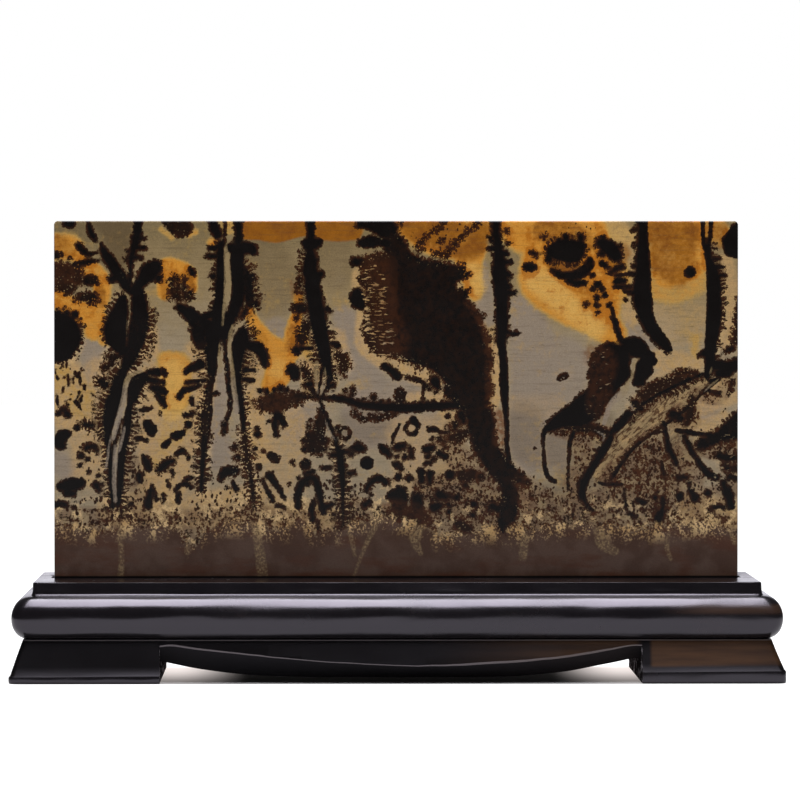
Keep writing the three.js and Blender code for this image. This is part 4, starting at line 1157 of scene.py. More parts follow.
    def _clefts(self, bench: Bench, run: Wire, depth: Wire, length: Wire, reach: Wire, width: Wire) -> Wire:
        """The clefts that part a fringe: they start within the solid dark and narrow by the tips.

        Args:
            bench: the material.
            run: the distance along the growth.
            depth: the distance outside the solid dark.
            length: how long the lobes are there.
            reach: how far the fringe spreads.
            width: how wide the clefts open.

        Returns:
            1 where there is no cleft, 0 in one.
        """
        start = (2.0 - reach) * 0.28
        cleft = bench.step(depth, start, start + reach * 0.45, -0.05, width)
        cleft = cleft * bench.step(depth, length * 0.55, length, 1.0, 0.5)
        return bench.step(bench.row(run, feature="DISTANCE_TO_EDGE"), cleft * 0.7, cleft + 0.05)

    def _veins(self, bench: Bench, place: Wire, colour: Wire) -> Wire:
        """Pale lines that cut the growths.

        Args:
            bench, place: the material, and the point's place in face units.
            colour: what lies under.

        Returns:
            The colour.
        """
        ragged = bench.attribute("vein_distance") + (bench.noise(place, 0.3, 4, 0.7) - 0.5) * 2.6
        raised = bench.part(place, "Z") + bench.noise(place, 0.05, 3) * 80
        pale = bench.mix(bench.step(raised, 300, 350), self.palette.lilac, self.palette.olive)
        grain = bench.step(bench.noise(place, 0.35, 4, 0.7), 0.38, 0.6, 0.4, 0.85)
        return bench.mix(bench.step(ragged, -0.9, 0.5, 1.0, 0.0) * grain, colour, pale)

    def _ground(self, bench: Bench, place: Wire, colour: Wire) -> Wire:
        """The plain brown stone along the bottom, with its ragged top edge and pale veins, and a painted
        shadow above the ledge.

        Args:
            bench, place: the material, and the point's place in face units.
            colour: what lies under.

        Returns:
            The colour.
        """
        colours = self.palette
        below = bench.attribute("ground_depth")
        fine = bench.noise(place, 0.42, 5, 0.72)
        broad = bench.noise(place, 0.03, 3)
        plain = bench.mix(bench.step(broad, 0.4, 0.62), colours.ground, colours.ground_grey)
        red = bench.noise(bench.scaled(place, 0.02, 0.05, 0.06), 1.0, 3)
        plain = bench.mix(bench.step(red, 0.48, 0.68, 0.0, 0.7), plain, colours.ground_red)
        tongues = bench.noise(bench.scaled(place, 0.09, 0.1, 0.035), 1.0, 4, 0.65)
        speckle = bench.step(fine + (tongues - 0.5) * 0.9, 0.54, 0.6) * bench.step(below, 0.0, 20.0, 1.0, 0.0)
        plain = bench.mix(speckle, plain, bench.mix(bench.step(broad, 0.4, 0.6), colours.tan, colours.cream))
        vein = bench.step(bench.attribute("ground_vein"), -1.5, 1.5, 1.0, 0.0)
        vein = vein * bench.step(bench.noise(place, 0.5, 3, 0.7), 0.46, 0.6, 0.12, 0.7)
        plain = bench.mix(vein, plain, colours.log)
        share = bench.step(below + (fine - 0.5) * 22 + (tongues - 0.5) * 34, -3.0, 4.0)
        colour = bench.mix(share, colour, plain)
        # Painted shadow: a thin black band on the slab just above the stand's ledge, standing in for the
        # groove's shade
        ledge = self.ledge_top / self.unit
        shade = bench.step(bench.part(place, "Z"), ledge + 1.2, ledge + 2.6, 1.0, 0.0)
        return bench.mix(shade, colour, colours.black)


@dataclass
class Slab:
    """The upright stone: its sizes come from its CAD solid, in metres.

    fine_cell and coarse_cell are how wide its front's and its back's squares are, in face units.
    """

    fine_cell: float = 1.82
    coarse_cell: float = 4.2
    arris: float = 0.6 * MM
    corner: float = 1.2 * MM
    low: Vector = field(init=False)
    high: Vector = field(init=False)

    def __post_init__(self) -> None:
        """Reads the solid's box."""
        low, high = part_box("stone_slab")
        self.low, self.high = Vector(low), Vector(high)

    @property
    def unit(self) -> float:
        """The size of a face unit."""
        return (self.high.x - self.low.x) / FACE_UNITS

    def build(self) -> bpy.types.Object:
        """Builds the slab, dresses it and sets it in the frame.

        Returns:
            The finished object.
        """
        mesh = bmesh.new()
        front = self._face(mesh, self.low.y, self.fine_cell, facing=-1)
        back = self._face(mesh, self.high.y, self.coarse_cell, facing=1)
        front_side = self._rings(mesh, front, self.low.y, 1)
        back_side = self._rings(mesh, back, self.high.y, -1)
        self._stitch(mesh, front_side, back_side)
        self._round_corners(mesh)
        bmesh.ops.recalc_face_normals(mesh, faces=mesh.faces)
        piece = new_piece("slab", mesh, [PolishedStone(self.unit).material()])
        self._store_picture(piece)
        smooth_by_angle(piece, 40)
        return piece

    def _face(self, mesh: bmesh.types.BMesh, y: float, cell: float, facing: int) -> Ring:
        """Makes one flat face as a grid, set in by the arris.

        Args:
            mesh: the slab's mesh.
            y: where the face is.
            cell: how wide its squares are, in face units.
            facing: -1 towards the front, 1 towards the back.

        Returns:
            The points of its edge, in order.
        """
        inset = self.arris
        width = self.high.x - self.low.x - 2 * inset
        height = self.high.z - self.low.z - 2 * inset
        columns = round(width / self.unit / cell)
        rows = round(height / self.unit / cell)
        grid = []
        for j in range(rows + 1):
            z = self.low.z + inset + height * j / rows
            across = (self.low.x + inset + width * i / columns for i in range(columns + 1))
            grid.append([mesh.verts.new((x, y, z)) for x in across])
        for lower, upper in zip(grid[:-1], grid[1:]):
            for i in range(columns):
                corners = (lower[i], lower[i + 1], upper[i + 1], upper[i])
                mesh.faces.new(corners if facing < 0 else corners[::-1])
        right = [line[-1] for line in grid[1:-1]]
        left = [line[0] for line in grid[1:-1]]
        return [*grid[0], *right, *grid[-1][::-1], *left[::-1]]

    def _rings(self, mesh: bmesh.types.BMesh, edge: Ring, y: float, inward: int) -> Ring:
        """Rounds the arris from a face's edge to the slab's side.

        Args:
            mesh: the slab's mesh.
            edge: the points of the face's edge.
            y: where the face is.
            inward: the way into the slab along Y, 1 or -1.

        Returns:
            The points of the last ring, on the side.
        """
        middle = (self.low + self.high) / 2
        ring_before = edge
        for angle in (30, 60, 90):
            turn = math.radians(angle)
            out = self.arris * math.sin(turn)
            back = self.arris * (1 - math.cos(turn))
            ring_now = []
            for vert in edge:
                x, z = vert.co.x, vert.co.z
                at_side = abs(abs(x - middle.x) - (self.high.x - self.low.x) / 2 + self.arris) < 1e-7
                at_end = abs(abs(z - middle.z) - (self.high.z - self.low.z) / 2 + self.arris) < 1e-7
                share = math.sqrt(0.5) if at_side and at_end else 1.0
                x += math.copysign(out * share, x - middle.x) if at_side else 0
                z += math.copysign(out * share, z - middle.z) if at_end else 0
                ring_now.append(mesh.verts.new((x, y + inward * back, z)))
            join_rings(mesh, (ring_before, ring_now))
            ring_before = ring_now
        return ring_before

    def _stitch(self, mesh: bmesh.types.BMesh, fine: Ring, coarse: Ring) -> None:
        """Joins two rings round the side that have different numbers of points.

        Args:
            mesh: the slab's mesh.
            fine, coarse: the rings.
        """
        def shares(loop: Ring) -> list[float]:
            """How far round each point of a ring is, from 0 to 1."""
            steps = [(loop[(i + 1) % len(loop)].co - vert.co).length for i, vert in enumerate(loop)]
            total = sum(steps)
            return [sum_before / total for sum_before in np.cumsum([0.0, *steps])]
        fine_at, coarse_at = shares(fine), shares(coarse)
        i = j = 0
        while i < len(fine) or j < len(coarse):
            here, there = fine[i % len(fine)], coarse[j % len(coarse)]
            if j >= len(coarse) or (i < len(fine) and fine_at[i + 1] <= coarse_at[j + 1]):
                i += 1
                mesh.faces.new((here, fine[i % len(fine)], there))
            else:
                j += 1
                mesh.faces.new((here, coarse[j % len(coarse)], there))

    def _round_corners(self, mesh: bmesh.types.BMesh) -> None:
        """Draws the points by each corner in from a square to a quarter round.

        Args:
            mesh: the slab's mesh.
        """
        middle, half = (self.low + self.high) / 2, (self.high - self.low) / 2
        for vert in mesh.verts:
            out_x = abs(vert.co.x - middle.x) - half.x + self.corner
            out_z = abs(vert.co.z - middle.z) - half.z + self.corner
            if out_x > 0 and out_z > 0:
                back = 1 - max(out_x, out_z) / math.hypot(out_x, out_z)
                vert.co.x -= math.copysign(out_x * back, vert.co.x - middle.x)
                vert.co.z -= math.copysign(out_z * back, vert.co.z - middle.z)

    def _store_picture(self, piece: bpy.types.Object) -> None:
        """Works out the picture at every point and stores it on the mesh.

        It drifts sideways and down as it runs through the stone to the back.

        Args:
            piece: the slab.
        """
        count = len(piece.data.vertices)
        places = np.empty(count * 3)
        piece.data.vertices.foreach_get("co", places)
        x, y, z = places.reshape(-1, 3).T
        through_stone = (y - self.low.y) / (self.high.y - self.low.y)
        u = (x - self.low.x) / self.unit
        v = (self.high.z - z) / self.unit
        drift_u = through_stone * (16 * np.sin(v / 60 + 1) + 8 * np.sin(u / 37))
        drift_v = through_stone * 12 * np.sin(u / 50 + 2)
        picture = PictureFields(u + drift_u, v + drift_v)
        columns = {
            "growth_depth": picture.depth,
            "growth_along": picture.along,
            "growth_reach": picture.reach,
            "growth_warmth": picture.warmth,
            "vein_distance": picture.vein_distance(VEINS),
            "ground_depth": picture.ground(),
            "ground_vein": picture.vein_distance(GROUND_VEINS),
            **{f"tint_{tint.value}": amount for tint, amount in picture.tints.items()},
        }
        for name, values in columns.items():
            layer = piece.data.attributes.new(name, "FLOAT", "POINT")
            layer.data.foreach_set("value", values.astype(np.float32))


def new_piece(name: str, mesh: bmesh.types.BMesh,
              materials: Sequence[bpy.types.Material] = ()) -> bpy.types.Object:
    """Turns a bmesh into an object in the scene.

    Args:
        name: the object's name.
        mesh: its mesh, which is used up.
        materials: its materials, in the order of their slots.

    Returns:
        The object.
    """
    data = bpy.data.meshes.new(name)
    mesh.to_mesh(data)
    mesh.free()
    for material in materials:
        data.materials.append(material)
    piece = bpy.data.objects.new(name, data)
    bpy.context.scene.collection.objects.link(piece)
    return piece


def smooth_by_angle(piece: bpy.types.Object, degrees: float) -> None:
    """Shades a piece smooth, with edges sharper than an angle kept crisp."""
    piece.data.shade_smooth()
    piece.data.set_sharp_from_angle(angle=math.radians(degrees))


class Coat(Enum):
    """The states that the stand's lacquered wood is in, and the painted highlight of its lit edges."""

    SMOOTH = "smooth_lacquer"
    PAINTED_EDGE_HIGHLIGHT = "painted_edge_highlight_lacquer"
    SAWN = "sawn_lacquer"
    MATT = "matt_lacquer"
    SATIN = "satin_lacquer"


@dataclass(frozen=True)
class LacquerLook:
    """How one state of the lacquer looks; flecks is how much painted glint its tool marks carry."""

    black: Colour
    brown: Colour
    roughness: float
    wear_and_glint: float
    waves: float
    marks: float
    shine: float = 0.5
    flecks: float = 0.0


LACQUER_LOOKS: dict[Coat, LacquerLook] = {
    Coat.SMOOTH: LacquerLook(srgb(10, 8, 9), srgb(60, 41, 27), 0.21, 0.25, 1.7, 0.1, 0.56),
    # Edge highlight: a light grey painted highlight for the arrises and the band under the joint, with a
    # little worn brown
    Coat.PAINTED_EDGE_HIGHLIGHT: LacquerLook(srgb(88, 82, 84), srgb(84, 72, 64), 0.3, 0.5, 0.3, 0.1, 0.3),
    # Sawn faces: no specular; the grey base, the pale grey patches and the flecks are painted glints standing
    # in for the glossy tool marks' reflections
    Coat.SAWN: LacquerLook(srgb(36, 33, 34), srgb(120, 112, 114), 0.5, 1.0, 0.5, 7.0, 0.0, 0.9),
    Coat.MATT: LacquerLook(srgb(10, 9, 10), srgb(24, 18, 16), 0.5, 0.4, 0.5, 0.3, 0.16),
    Coat.SATIN: LacquerLook(srgb(8, 7, 7), srgb(66, 45, 27), 0.38, 0.3, 0.35, 0.1, 0.12),
}


@dataclass(frozen=True)
class BlackLacquer:
    """The stand's finish: black lacquer over dark wood, worn brown in the middle of its panels."""

    panel_left: float = 109.5 * MM
    panel_right: float = 162 * MM
    panel_low: float = 7.6 * MM
    board_top: float = 18.7 * MM
    painted_glint: Colour = srgb(214, 208, 216)
    sheen: Colour = (0.9, 0.84, 0.98)

    def material(self, coat: Coat) -> bpy.types.Material:
        """Builds the material for one state of the lacquer.

        Args:
            coat: the state.

        Returns:
            The material.
        """
        look = LACQUER_LOOKS[coat]
        bench = Bench(bpy.data.materials.new(coat.value))
        place = bench.place()
        clouds = bench.noise(place, 22, 4, 0.6)
        grain = bench.noise(bench.scaled(place, 25, 190, 330), 1.0, 4, 0.6)
        rubbed = self._panels(bench, place, clouds)
        # Worn brown on most coats; on the sawn faces the same mask lays painted grey glints
        worn = bench.step(clouds + (grain - 0.5) * 0.5, 0.6, 0.8, 0.0, 0.4)
        worn = (worn * look.wear_and_glint).at_least(rubbed * bench.step(grain, 0.3, 0.7, 0.5, 1.0))
        colour = bench.mix(worn, look.black, look.brown)
        waves = bench.noise(bench.scaled(place, 17, 60, 60), 1.0, 2, 0.45)
        tool_marks_and_glints = bench.noise(bench.scaled(place, 420, 160, 240), 1.0, 4, 0.7)
        # Painted glints: pale flecks on the tool marks, as much as the look's flecks asks
        colour = bench.mix(bench.step(tool_marks_and_glints, 0.54, 0.66, 0.0, look.flecks), colour, self.painted_glint)
        height = waves * look.waves + grain * 0.02 + tool_marks_and_glints * look.marks * 0.25
        ripple = {"Strength": 0.6, "Distance": 0.0014, "Height": height}
        rough = bench.step(clouds + rubbed * 0.3, 0.3, 0.9, look.roughness - 0.03, look.roughness + 0.14)
        return bench.finish(colour, {"Specular IOR Level": look.shine, "IOR": 1.5, "Roughness": rough,
                                     "Specular Tint": solid(self.sheen),
                                     "Normal": bench.wire("ShaderNodeBump", 0, None, ripple)})

    def _panels(self, bench: Bench, place: Wire, clouds: Wire) -> Wire:
        """Where the brown wood shows: the right foot's panel, and less along the apron.

        Args:
            bench: the material.
            place: the point's place, in metres.
            clouds: the noise that frets its edges.

        Returns:
            How much it shows.
        """
        across, level = bench.part(place, "X"), bench.part(place, "Z")
        ragged = (clouds - 0.5) * (1.6 * MM)
        blur = 0.9 * MM
        flared = across + (level - self.board_top) * 0.4 + ragged
        side = bench.step(across + ragged, self.panel_left - blur, self.panel_left + blur)
        side = side * bench.step(flared, self.panel_right + blur, self.panel_right - blur)
        low = bench.step(level + ragged, self.panel_low - blur, self.panel_low + blur)
        foot = side * low * bench.step(clouds, 0.25, 0.65, 0.7, 1.0)
        apron = bench.step(across, 10 * MM, 95 * MM, 0.0, 0.6) * bench.step(across, 106 * MM, 102 * MM)
        roll = bench.step(across, 110 * MM, 135 * MM) * bench.step(level, 29 * MM, 31 * MM)
        roll = roll * bench.step(level, 35 * MM, 33 * MM)
        below = bench.step(level, self.board_top + 0.2 * MM, self.board_top)
        return (foot.at_least(apron) * below).at_least(roll * 0.6)


@dataclass(frozen=True)
class Level:
    """One level of a board, in millimetres: its inset from the footprint, height and corner radius.

    rise is how much higher it is at the right end than in the middle.
    """

    inset: float
    height: float
    corner: float
    rise: float = 0.0


@dataclass(frozen=True)
class Footprint:
    """The stand's outline in plan, and how its levels are divided."""

    width: float = 335.2
    depth: float = 110.0
    long_steps: int = 110
    short_steps: int = 34
    corner_steps: int = 8
    waviness: float = 0.13

    def ring(self, mesh: bmesh.types.BMesh, level: Level) -> Ring:
        """Adds the points of one level, slightly uneven as hand work is.

        Args:
            mesh: the board's mesh.
            level: the level.

        Returns:
            The points, in order.
        """
        half = (self.width / 2 - level.inset, self.depth / 2 - level.inset)
        verts = self.rectangle(mesh, half, level.corner, level.height, self.waviness)
        for vert in verts:
            vert.co.z += level.rise * vert.co.x / (self.width / 2)
        return verts

    def rectangle(self, mesh: bmesh.types.BMesh, half: tuple[float, float], corner: float, height: float,
                  waviness: float) -> Ring:
        """Adds a rounded rectangle of points, always divided in the same way.

        Args:
            mesh: the board's mesh.
            half: half its width and depth, in millimetres like all here.
            corner: its corners' radius.
            height: how high it lies.
            waviness: how uneven it is.

        Returns:
            The points, in order.
        """
        centre = (half[0] - corner, half[1] - corner)
        places = []
        for quarter, steps in enumerate((self.long_steps, self.short_steps) * 2):
            sign_x = (1, -1, -1, 1)[quarter]
            sign_y = (1, 1, -1, -1)[quarter]
            for i in range(self.corner_steps + 1):
                turn = math.radians(90 * (quarter + i / self.corner_steps))
                out_x, out_y = math.cos(turn), math.sin(turn)
                places.append((sign_x * centre[0] + corner * out_x, sign_y * centre[1] + corner * out_y,
                               out_x, out_y))
            start = places[-1]
            goal_x = (-1, -1, 1, 1)[quarter] * (centre[0] if quarter % 2 == 0 else half[0])
            goal_y = (1, -1, -1, 1)[quarter] * (half[1] if quarter % 2 == 0 else centre[1])
            for i in range(1, steps):
                share = i / steps
                places.append((start[0] + (goal_x - start[0]) * share, start[1] + (goal_y - start[1]) * share,
                               start[2], start[3]))
        verts = []
        for x, y, out_x, out_y in places:
            push = waviness * (noise.noise(Vector((x / 34, y / 34, height / 9))) - 0.3)
            verts.append(mesh.verts.new(((x + out_x * push) * MM, (y + out_y * push) * MM, height * MM)))
        return verts


def join_rings(mesh: bmesh.types.BMesh, rings: Sequence[Ring]) -> None:
    """Adds faces between neighbouring rings that have equal numbers of points.

    Args:
        mesh: the rings' mesh.
        rings: the rings, in order.
    """
    for lower, upper in zip(rings[:-1], rings[1:]):
        for i, vert in enumerate(lower):
            after = (i + 1) % len(lower)
            mesh.faces.new((vert, lower[after], upper[after], upper[i]))


def close_board(mesh: bmesh.types.BMesh, rings: Sequence[Ring]) -> None:
    """Adds a board's sides between its rings, its underside and its top.

    Args:
        mesh: the board's mesh.
        rings: its rings, from its underside up.
    """
    join_rings(mesh, rings)
    mesh.faces.new(rings[0][::-1])
    mesh.faces.new(rings[-1])
    bmesh.ops.recalc_face_normals(mesh, faces=mesh.faces)


def arc_levels(centre: Level, reach: float, rise: float, start: float, end: float,
               steps: int = 16) -> list[Level]:
    """Makes levels along part of an ellipse.

    Args:
        centre: the ellipse's middle.
        reach, rise: its half width and half height.
        start, end: the angles between which the levels lie, in degrees.
        steps: stretches between the first level and the last.

    Returns:
        The levels.
    """
    levels = []
    for i in range(steps + 1):
        turn = math.radians(start + (end - start) * i / steps)
        levels.append(Level(centre.inset - reach * math.cos(turn), centre.height + rise * math.sin(turn),
                            centre.corner))
    return levels


@dataclass
class TopBoard:
    """The stand's top board: a fat rounded edge, a small step, and the ledge with the slab's groove."""

    footprint: Footprint = Footprint()
    underside: float = 19.0
    bulge: Level = Level(1.0, 28.0, 5.0)
    moulding_top: Level = Level(8.8, 37.6, 5.0)
    ledge: Level = Level(10.1, 43.3, 2.0)
    groove_half: tuple[float, float] = (151.5, 7.0)
    groove_floor: float = 36.0

    def levels(self) -> list[Level]:
        """The board's levels from its underside to the edge of its top."""
        lower_reach = 6.6
        under = arc_levels(Level(self.bulge.inset + lower_reach, self.bulge.height, self.bulge.corner),
                           lower_reach, self.bulge.height - self.underside, -80, 0)
        over = arc_levels(Level(self.moulding_top.inset, self.bulge.height, self.bulge.corner),
                          self.moulding_top.inset - self.bulge.inset,
                          self.moulding_top.height - self.bulge.height, 6, 86)
        top, inset, corner = self.moulding_top.height, self.ledge.inset, self.ledge.corner
        step = [Level(inset - out, top + up, corner + more)
                for out, up, more in ((0.9, 0.1, 0.9), (0.6, 0.3, 0.0), (0.35, 0.8, 0.0), (0.1, 2.0, 0.0))]
        edge = [Level(inset + back, self.ledge.height - down, corner)
                for back, down in ((0.0, 0.7), (0.14, 0.21), (0.35, 0.06), (0.7, 0.0))]
        return [Level(under[0].inset + 0.3, self.underside, self.bulge.corner), *under, *over, *step, *edge]

    def build(self) -> bpy.types.Object:
        """Builds and dresses the board."""
        mesh = bmesh.new()
        rings = [self.footprint.ring(mesh, level) for level in self.levels()]
        across, along = self.groove_half
        top = self.ledge.height
        for grow, height in ((0.3, top), (0.1, top - 0.1), (0.0, top - 0.35), (0.0, self.groove_floor)):
            rings.append(self.footprint.rectangle(mesh, (across + grow, along + grow), 0.6, height, 0.0))
        close_board(mesh, rings)
        piece = new_piece("top_board", mesh, [BlackLacquer().material(Coat.SMOOTH)])
        smooth_by_angle(piece, 32)
        return piece


@dataclass
class Base:
    """The stand's base board: flaring sides, sawn away underneath into two feet and a belly.

    Its sizes are in millimetres. front_edge and underside are the saw's path, X and height: where
    it meets the front face, and the belly behind the bevel.
    """

    footprint: Footprint = Footprint(waviness=0.1)
    top: float = 18.7
    top_inset: float = 5.9
    flare_end: Level = Level(0.9, 5.2, 2.5, 1.2)
    arch: tuple[float, float] = (-102.6, 105.5)
    bevel_depth: float = 7.0
    arris: float = 0.42
    saw_half: float = 80.0
    saw_low: float = -5.0
    # How far under the joint the band of painted highlight reaches
    joint_highlight_band: float = 0.45
    front_edge: Sequence[tuple[float, float]] = (
        (-102.6, 15.9), (-97, 16.2), (-85, 14.7), (-66, 12.7), (-42, 10.4), (-14, 8.5), (14, 7.7), (44, 8.9),
        (70, 11.1), (88, 13.8), (100, 16.1), (105.5, 16.3))
    underside: Sequence[tuple[float, float]] = (
        (-102.6, 9.2), (-85, 5.8), (-66, 3.4), (-42, 2.5), (0, 2.3), (44, 2.5), (70, 4.3), (88, 7.4),
        (105.5, 11))
    sections: int = 150

    def levels(self) -> list[Level]:
        """The uncut board's levels from the floor up."""
        end = self.flare_end
        corner = end.corner
        slope = (self.top_inset - end.inset) / (self.top - end.height)
        band = [Level(inset, height, corner)
                for inset, height in ((0.8, 0.0), (0.4, 0.12), (0.15, 0.4), (0.0, 1.0))]
        arris = [Level(inset, end.height - down, corner, end.rise)
                 for inset, down in ((0.0, 1.5), (0.1, 1.15), (0.32, 0.85))]
        face = [Level(end.inset + slope * (height - end.height), height, corner, end.rise * share)
                for height, share in ((end.height - 0.45, 1.0), (8.0, 0.6), (12.0, 0.2),
                                      (self.top - 0.4, 0.0))]
        return [*band, *arris, *face, Level(self.top_inset, self.top, corner)]

    def build(self) -> bpy.types.Object:
        """Builds, saws and dresses the base."""
        mesh = bmesh.new()
        rings = [self.footprint.ring(mesh, level) for level in self.levels()]
        close_board(mesh, rings)
        coats = [BlackLacquer().material(coat) for coat in Coat]
        board = new_piece("uncut_board", mesh, coats)
        cutter = self._cutter()
        cut = board.modifiers.new("saw", "BOOLEAN")
        cut.operation = "DIFFERENCE"
        cut.solver = "MANIFOLD"
        cut.object = cutter
        sawn = bmesh.new()
        sawn.from_object(board, bpy.context.evaluated_depsgraph_get())
        for used in (board, cutter):
            bpy.data.objects.remove(used, do_unlink=True)
        self._dress_outside(sawn)
        piece = new_piece("base", sawn, coats)
        smooth_by_angle(piece, 30)
        return piece

    def _front_face(self, height: float) -> float:
        """Where the flaring front face is, in Y, at a height above the floor."""
        end = self.flare_end
        share = (height - end.height) / (self.top - end.height)
        return end.inset + (self.top_inset - end.inset) * share - self.footprint.depth / 2

    def _saw_section(self, edge: float, under: float) -> list[tuple[float, float]]:
        """The front half of the saw's path at one place, its outer edge eased by three flats.

        Args:
            edge: the height where the cut meets the board's face.
            under: the height of the belly behind the bevel.

        Returns:
            Y and height at its seven points, from under the floor to the belly.
        """
        corner = np.array((self._front_face(edge), edge))
        belly = np.array((corner[0] + self.bevel_depth, under))
        above = np.array((self._front_face(edge + self.arris), edge + self.arris))
        behind = corner + (belly - corner) * self.arris / math.dist(belly, corner)
        arc = [above * (1 - t) ** 2 + corner * 2 * t * (1 - t) + behind * t ** 2
               for t in (0, 1 / 3, 2 / 3, 1)]
        outside = arc[0] + (arc[0] - arc[1]) * 3
        points = [(-self.saw_half, self.saw_low), (-self.saw_half, outside[1]), outside, *arc[1:], belly]
        return [(float(y), float(z)) for y, z in points]

    def _cutter(self) -> bpy.types.Object:
        """The shape that the saw takes out, its faces marked with the coats that they leave."""
        edge_run = through([(x, z, 1) for x, z in self.front_edge], 8)
        under_run = through([(x, z, 1) for x, z in self.underside], 8)
        mesh = bmesh.new()
        rows = []
        left, right = self.arch
        for i in range(self.sections + 1):
            x = left + (right - left) * i / self.sections
            edge = float(np.interp(x, edge_run[:, 0], edge_run[:, 1]))
            edge += 0.16 * noise.noise(Vector((x / 7, 0.5, 0.5)))
            under = float(np.interp(x, under_run[:, 0], under_run[:, 1]))
            under += 0.2 * noise.noise(Vector((x / 12, 3.5, 0.5)))
            half = self._saw_section(edge, under)
            floor = [(half[-2][0], self.saw_low), (half[-1][0], self.saw_low)]
            outline = [*half, *((-y, z) for y, z in half[::-1]), *((-y, z) for y, z in floor), *floor[::-1]]
            rows.append([mesh.verts.new((x * MM, y * MM, z * MM)) for y, z in outline])
        join_rings(mesh, rows)
        # Points 0 to 6 are the front half, 7 to 13 the back half and 14 to 17 lie under the floor
        coats = list(Coat)
        for number, face in enumerate(mesh.faces):
            # The arris facets of the cut take the painted edge highlight
            on_arris = number % len(rows[0]) in (2, 3, 4, 8, 9, 10)
            face.material_index = coats.index(Coat.PAINTED_EDGE_HIGHLIGHT if on_arris else Coat.MATT)
        for row in (rows[0], rows[-1]):
            for part in ((17, 0, 1, 2, 3, 4, 5), (16, 17, 5, 6), (15, 16, 6, 7), (14, 15, 7, 8),
                         (13, 14, 8, 9, 10, 11, 12)):
                mesh.faces.new([row[i] for i in part]).material_index = coats.index(Coat.SAWN)
        bmesh.ops.recalc_face_normals(mesh, faces=mesh.faces)
        return new_piece("saw_path", mesh)

    def _dress_outside(self, mesh: bmesh.types.BMesh) -> None:
        """Sorts the faces that the saw left by their finish.

        Args:
            mesh: the sawn board's mesh.
        """
        bmesh.ops.remove_doubles(mesh, verts=mesh.verts, dist=0.002 * MM)
        mesh.normal_update()
        coats = list(Coat)
        for face in mesh.faces:
            level = face.calc_center_median().z
            if face.material_index != coats.index(Coat.SMOOTH):
                continue
            # A narrow band of side faces just under the joint takes the painted edge highlight
            if abs(face.normal.z) < 0.5 and level > (self.top - self.joint_highlight_band) * MM:
                face.material_index = coats.index(Coat.PAINTED_EDGE_HIGHLIGHT)
            elif abs(face.normal.z) >= 0.5 or level >= self.flare_end.height * 0.8 * MM:
                face.material_index = coats.index(Coat.SATIN)


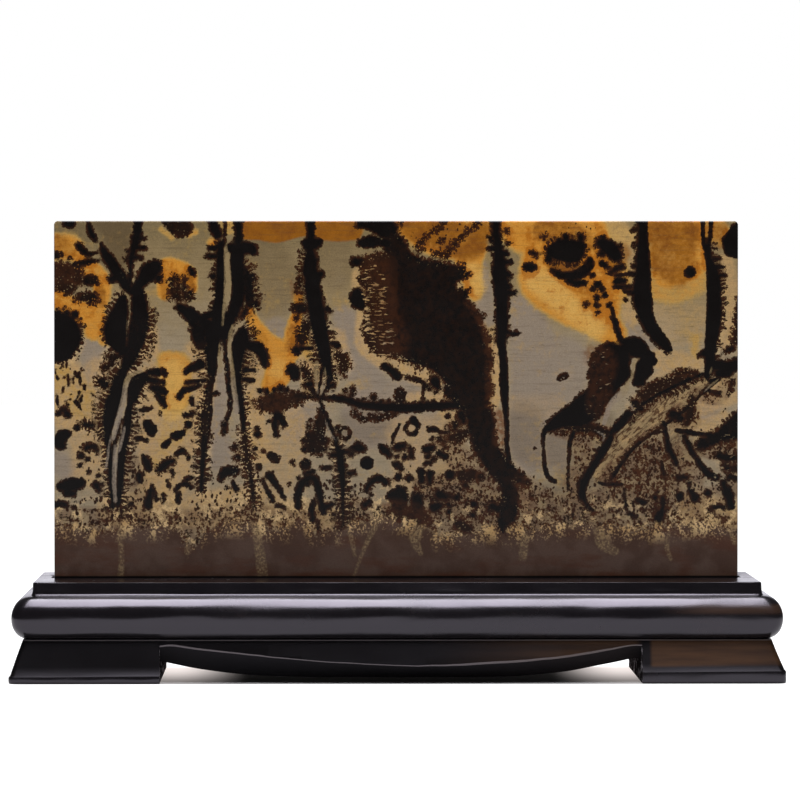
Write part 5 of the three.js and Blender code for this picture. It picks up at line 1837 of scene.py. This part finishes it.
@dataclass
class Studio:
    """The plain pale floor, the soft light and the camera, in metres."""

    camera_place: Vector = field(default_factory=lambda: Vector((-30.9, -2419.7, 167.1)) * MM)
    camera_target: Vector = field(default_factory=lambda: Vector((1.7, 0.0, 121.2)) * MM)
    lens: float = 247.6
    floor_size: float = 12.0
    floor_colour: Colour = srgb(150, 150, 150)
    room_colour: Colour = srgb(236, 234, 244)
    white: Colour = (1.0, 1.0, 1.0)
    panel_height: float = 1.15
    panel_size: tuple[float, float] = (0.64, 1.3)
    panel_power: float = 34.0

    def build(self) -> None:
        """Makes the floor, the light, the world and the camera."""
        self._floor()
        self._world()
        self._overhead_panel()
        self._camera()
        bpy.context.scene.view_settings.view_transform = "Standard"

    def _floor(self) -> None:
        """A white floor that glows as a lit table does, less so in the stand's own shade."""
        mesh = bmesh.new()
        bmesh.ops.create_grid(mesh, x_segments=2, y_segments=2, size=self.floor_size / 2)
        bench = Bench(bpy.data.materials.new("white_floor"))
        place = bench.place()
        across, back = bench.part(place, "X"), bench.part(place, "Y")
        open_end = bench.step((across - 1.5 * MM).size(), 66 * MM, 100 * MM, 0.01, 1.0)
        under = open_end * bench.step(back, -58 * MM, 50 * MM, 0.16, 0.95)
        clear = bench.step((across / 0.165).size().at_least((back / 0.056).size()), 0.97, 1.03)
        parts = {0: under, 1: under * 0.9, 2: under * 0.86}
        glow = bench.mix(clear, bench.wire("ShaderNodeCombineColor", 0, None, parts), self.white)
        seen = bench.wire("ShaderNodeLightPath", "Is Camera Ray")
        glow = bench.mix(seen, bench.mix(0.3, glow, (0.0, 0.0, 0.0)), glow)
        material = bench.finish(self.floor_colour, {"Roughness": 0.9, "Specular IOR Level": 0.1,
                                                    "Emission Strength": 1.0, "Emission Color": glow})
        new_piece("floor", mesh, [material])

    def _world(self) -> None:
        """White where the camera sees it, dim around the object and brighter behind it."""
        world = bpy.data.worlds.new("white_room")
        bpy.context.scene.world = world
        bench = Bench(world)
        behind = bench.part(bench.wire("ShaderNodeTexCoord", "Generated"), "Y")
        strength = bench.step(behind, 0.85, 0.97, 0.09, 1.4)
        room = {"Color": solid(self.room_colour), "Strength": strength}
        room_light = bench.wire("ShaderNodeBackground", 0, None, room)
        backdrop = bench.wire("ShaderNodeBackground", 0, None, {"Color": solid(self.white)})
        seen = bench.wire("ShaderNodeLightPath", "Is Camera Ray")
        light = bench.wire("ShaderNodeMixShader", 0, None, {0: seen, 1: room_light, 2: backdrop})
        bench.node("ShaderNodeOutputWorld", None, {0: light})

    def _overhead_panel(self) -> None:
        """One wide soft panel over the object, reaching well in front of it."""
        lamp = bpy.data.lights.new("overhead_panel", "AREA")
        lamp.shape = "RECTANGLE"
        lamp.size, lamp.size_y = self.panel_size
        lamp.energy = self.panel_power
        lamp.color = (0.98, 0.97, 1.0)
        stand = bpy.data.objects.new("overhead_panel", lamp)
        stand.location = (0.0, -0.2, self.panel_height)
        bpy.context.scene.collection.objects.link(stand)

    def _camera(self) -> None:
        """The camera at the photograph's viewing angle."""
        data = bpy.data.cameras.new("camera")
        data.lens = self.lens
        data.sensor_width = 36.0
        data.clip_end = 50.0
        camera = bpy.data.objects.new("camera", data)
        camera.location = self.camera_place
        camera.rotation_euler = (self.camera_target - self.camera_place).to_track_quat("-Z", "Y").to_euler()
        bpy.context.scene.collection.objects.link(camera)
        bpy.context.scene.camera = camera


def main() -> None:
    """Builds the object's pieces in order, then the studio, and notes the sizes."""
    logging.basicConfig(level=logging.INFO, format="%(name)s: %(message)s")
    slab = Slab().build()
    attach(slab, "root")
    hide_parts("stone_slab")
    log.info("slab: %d faces", len(slab.data.polygons))
    for board, node in ((TopBoard().build(), "stand_top_board"), (Base().build(), "stand_base")):
        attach(board, "root")
        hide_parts(node)
        log.info("%s: %d faces", node, len(board.data.polygons))
    Studio().build()


if __name__ == "__main__":
    main()
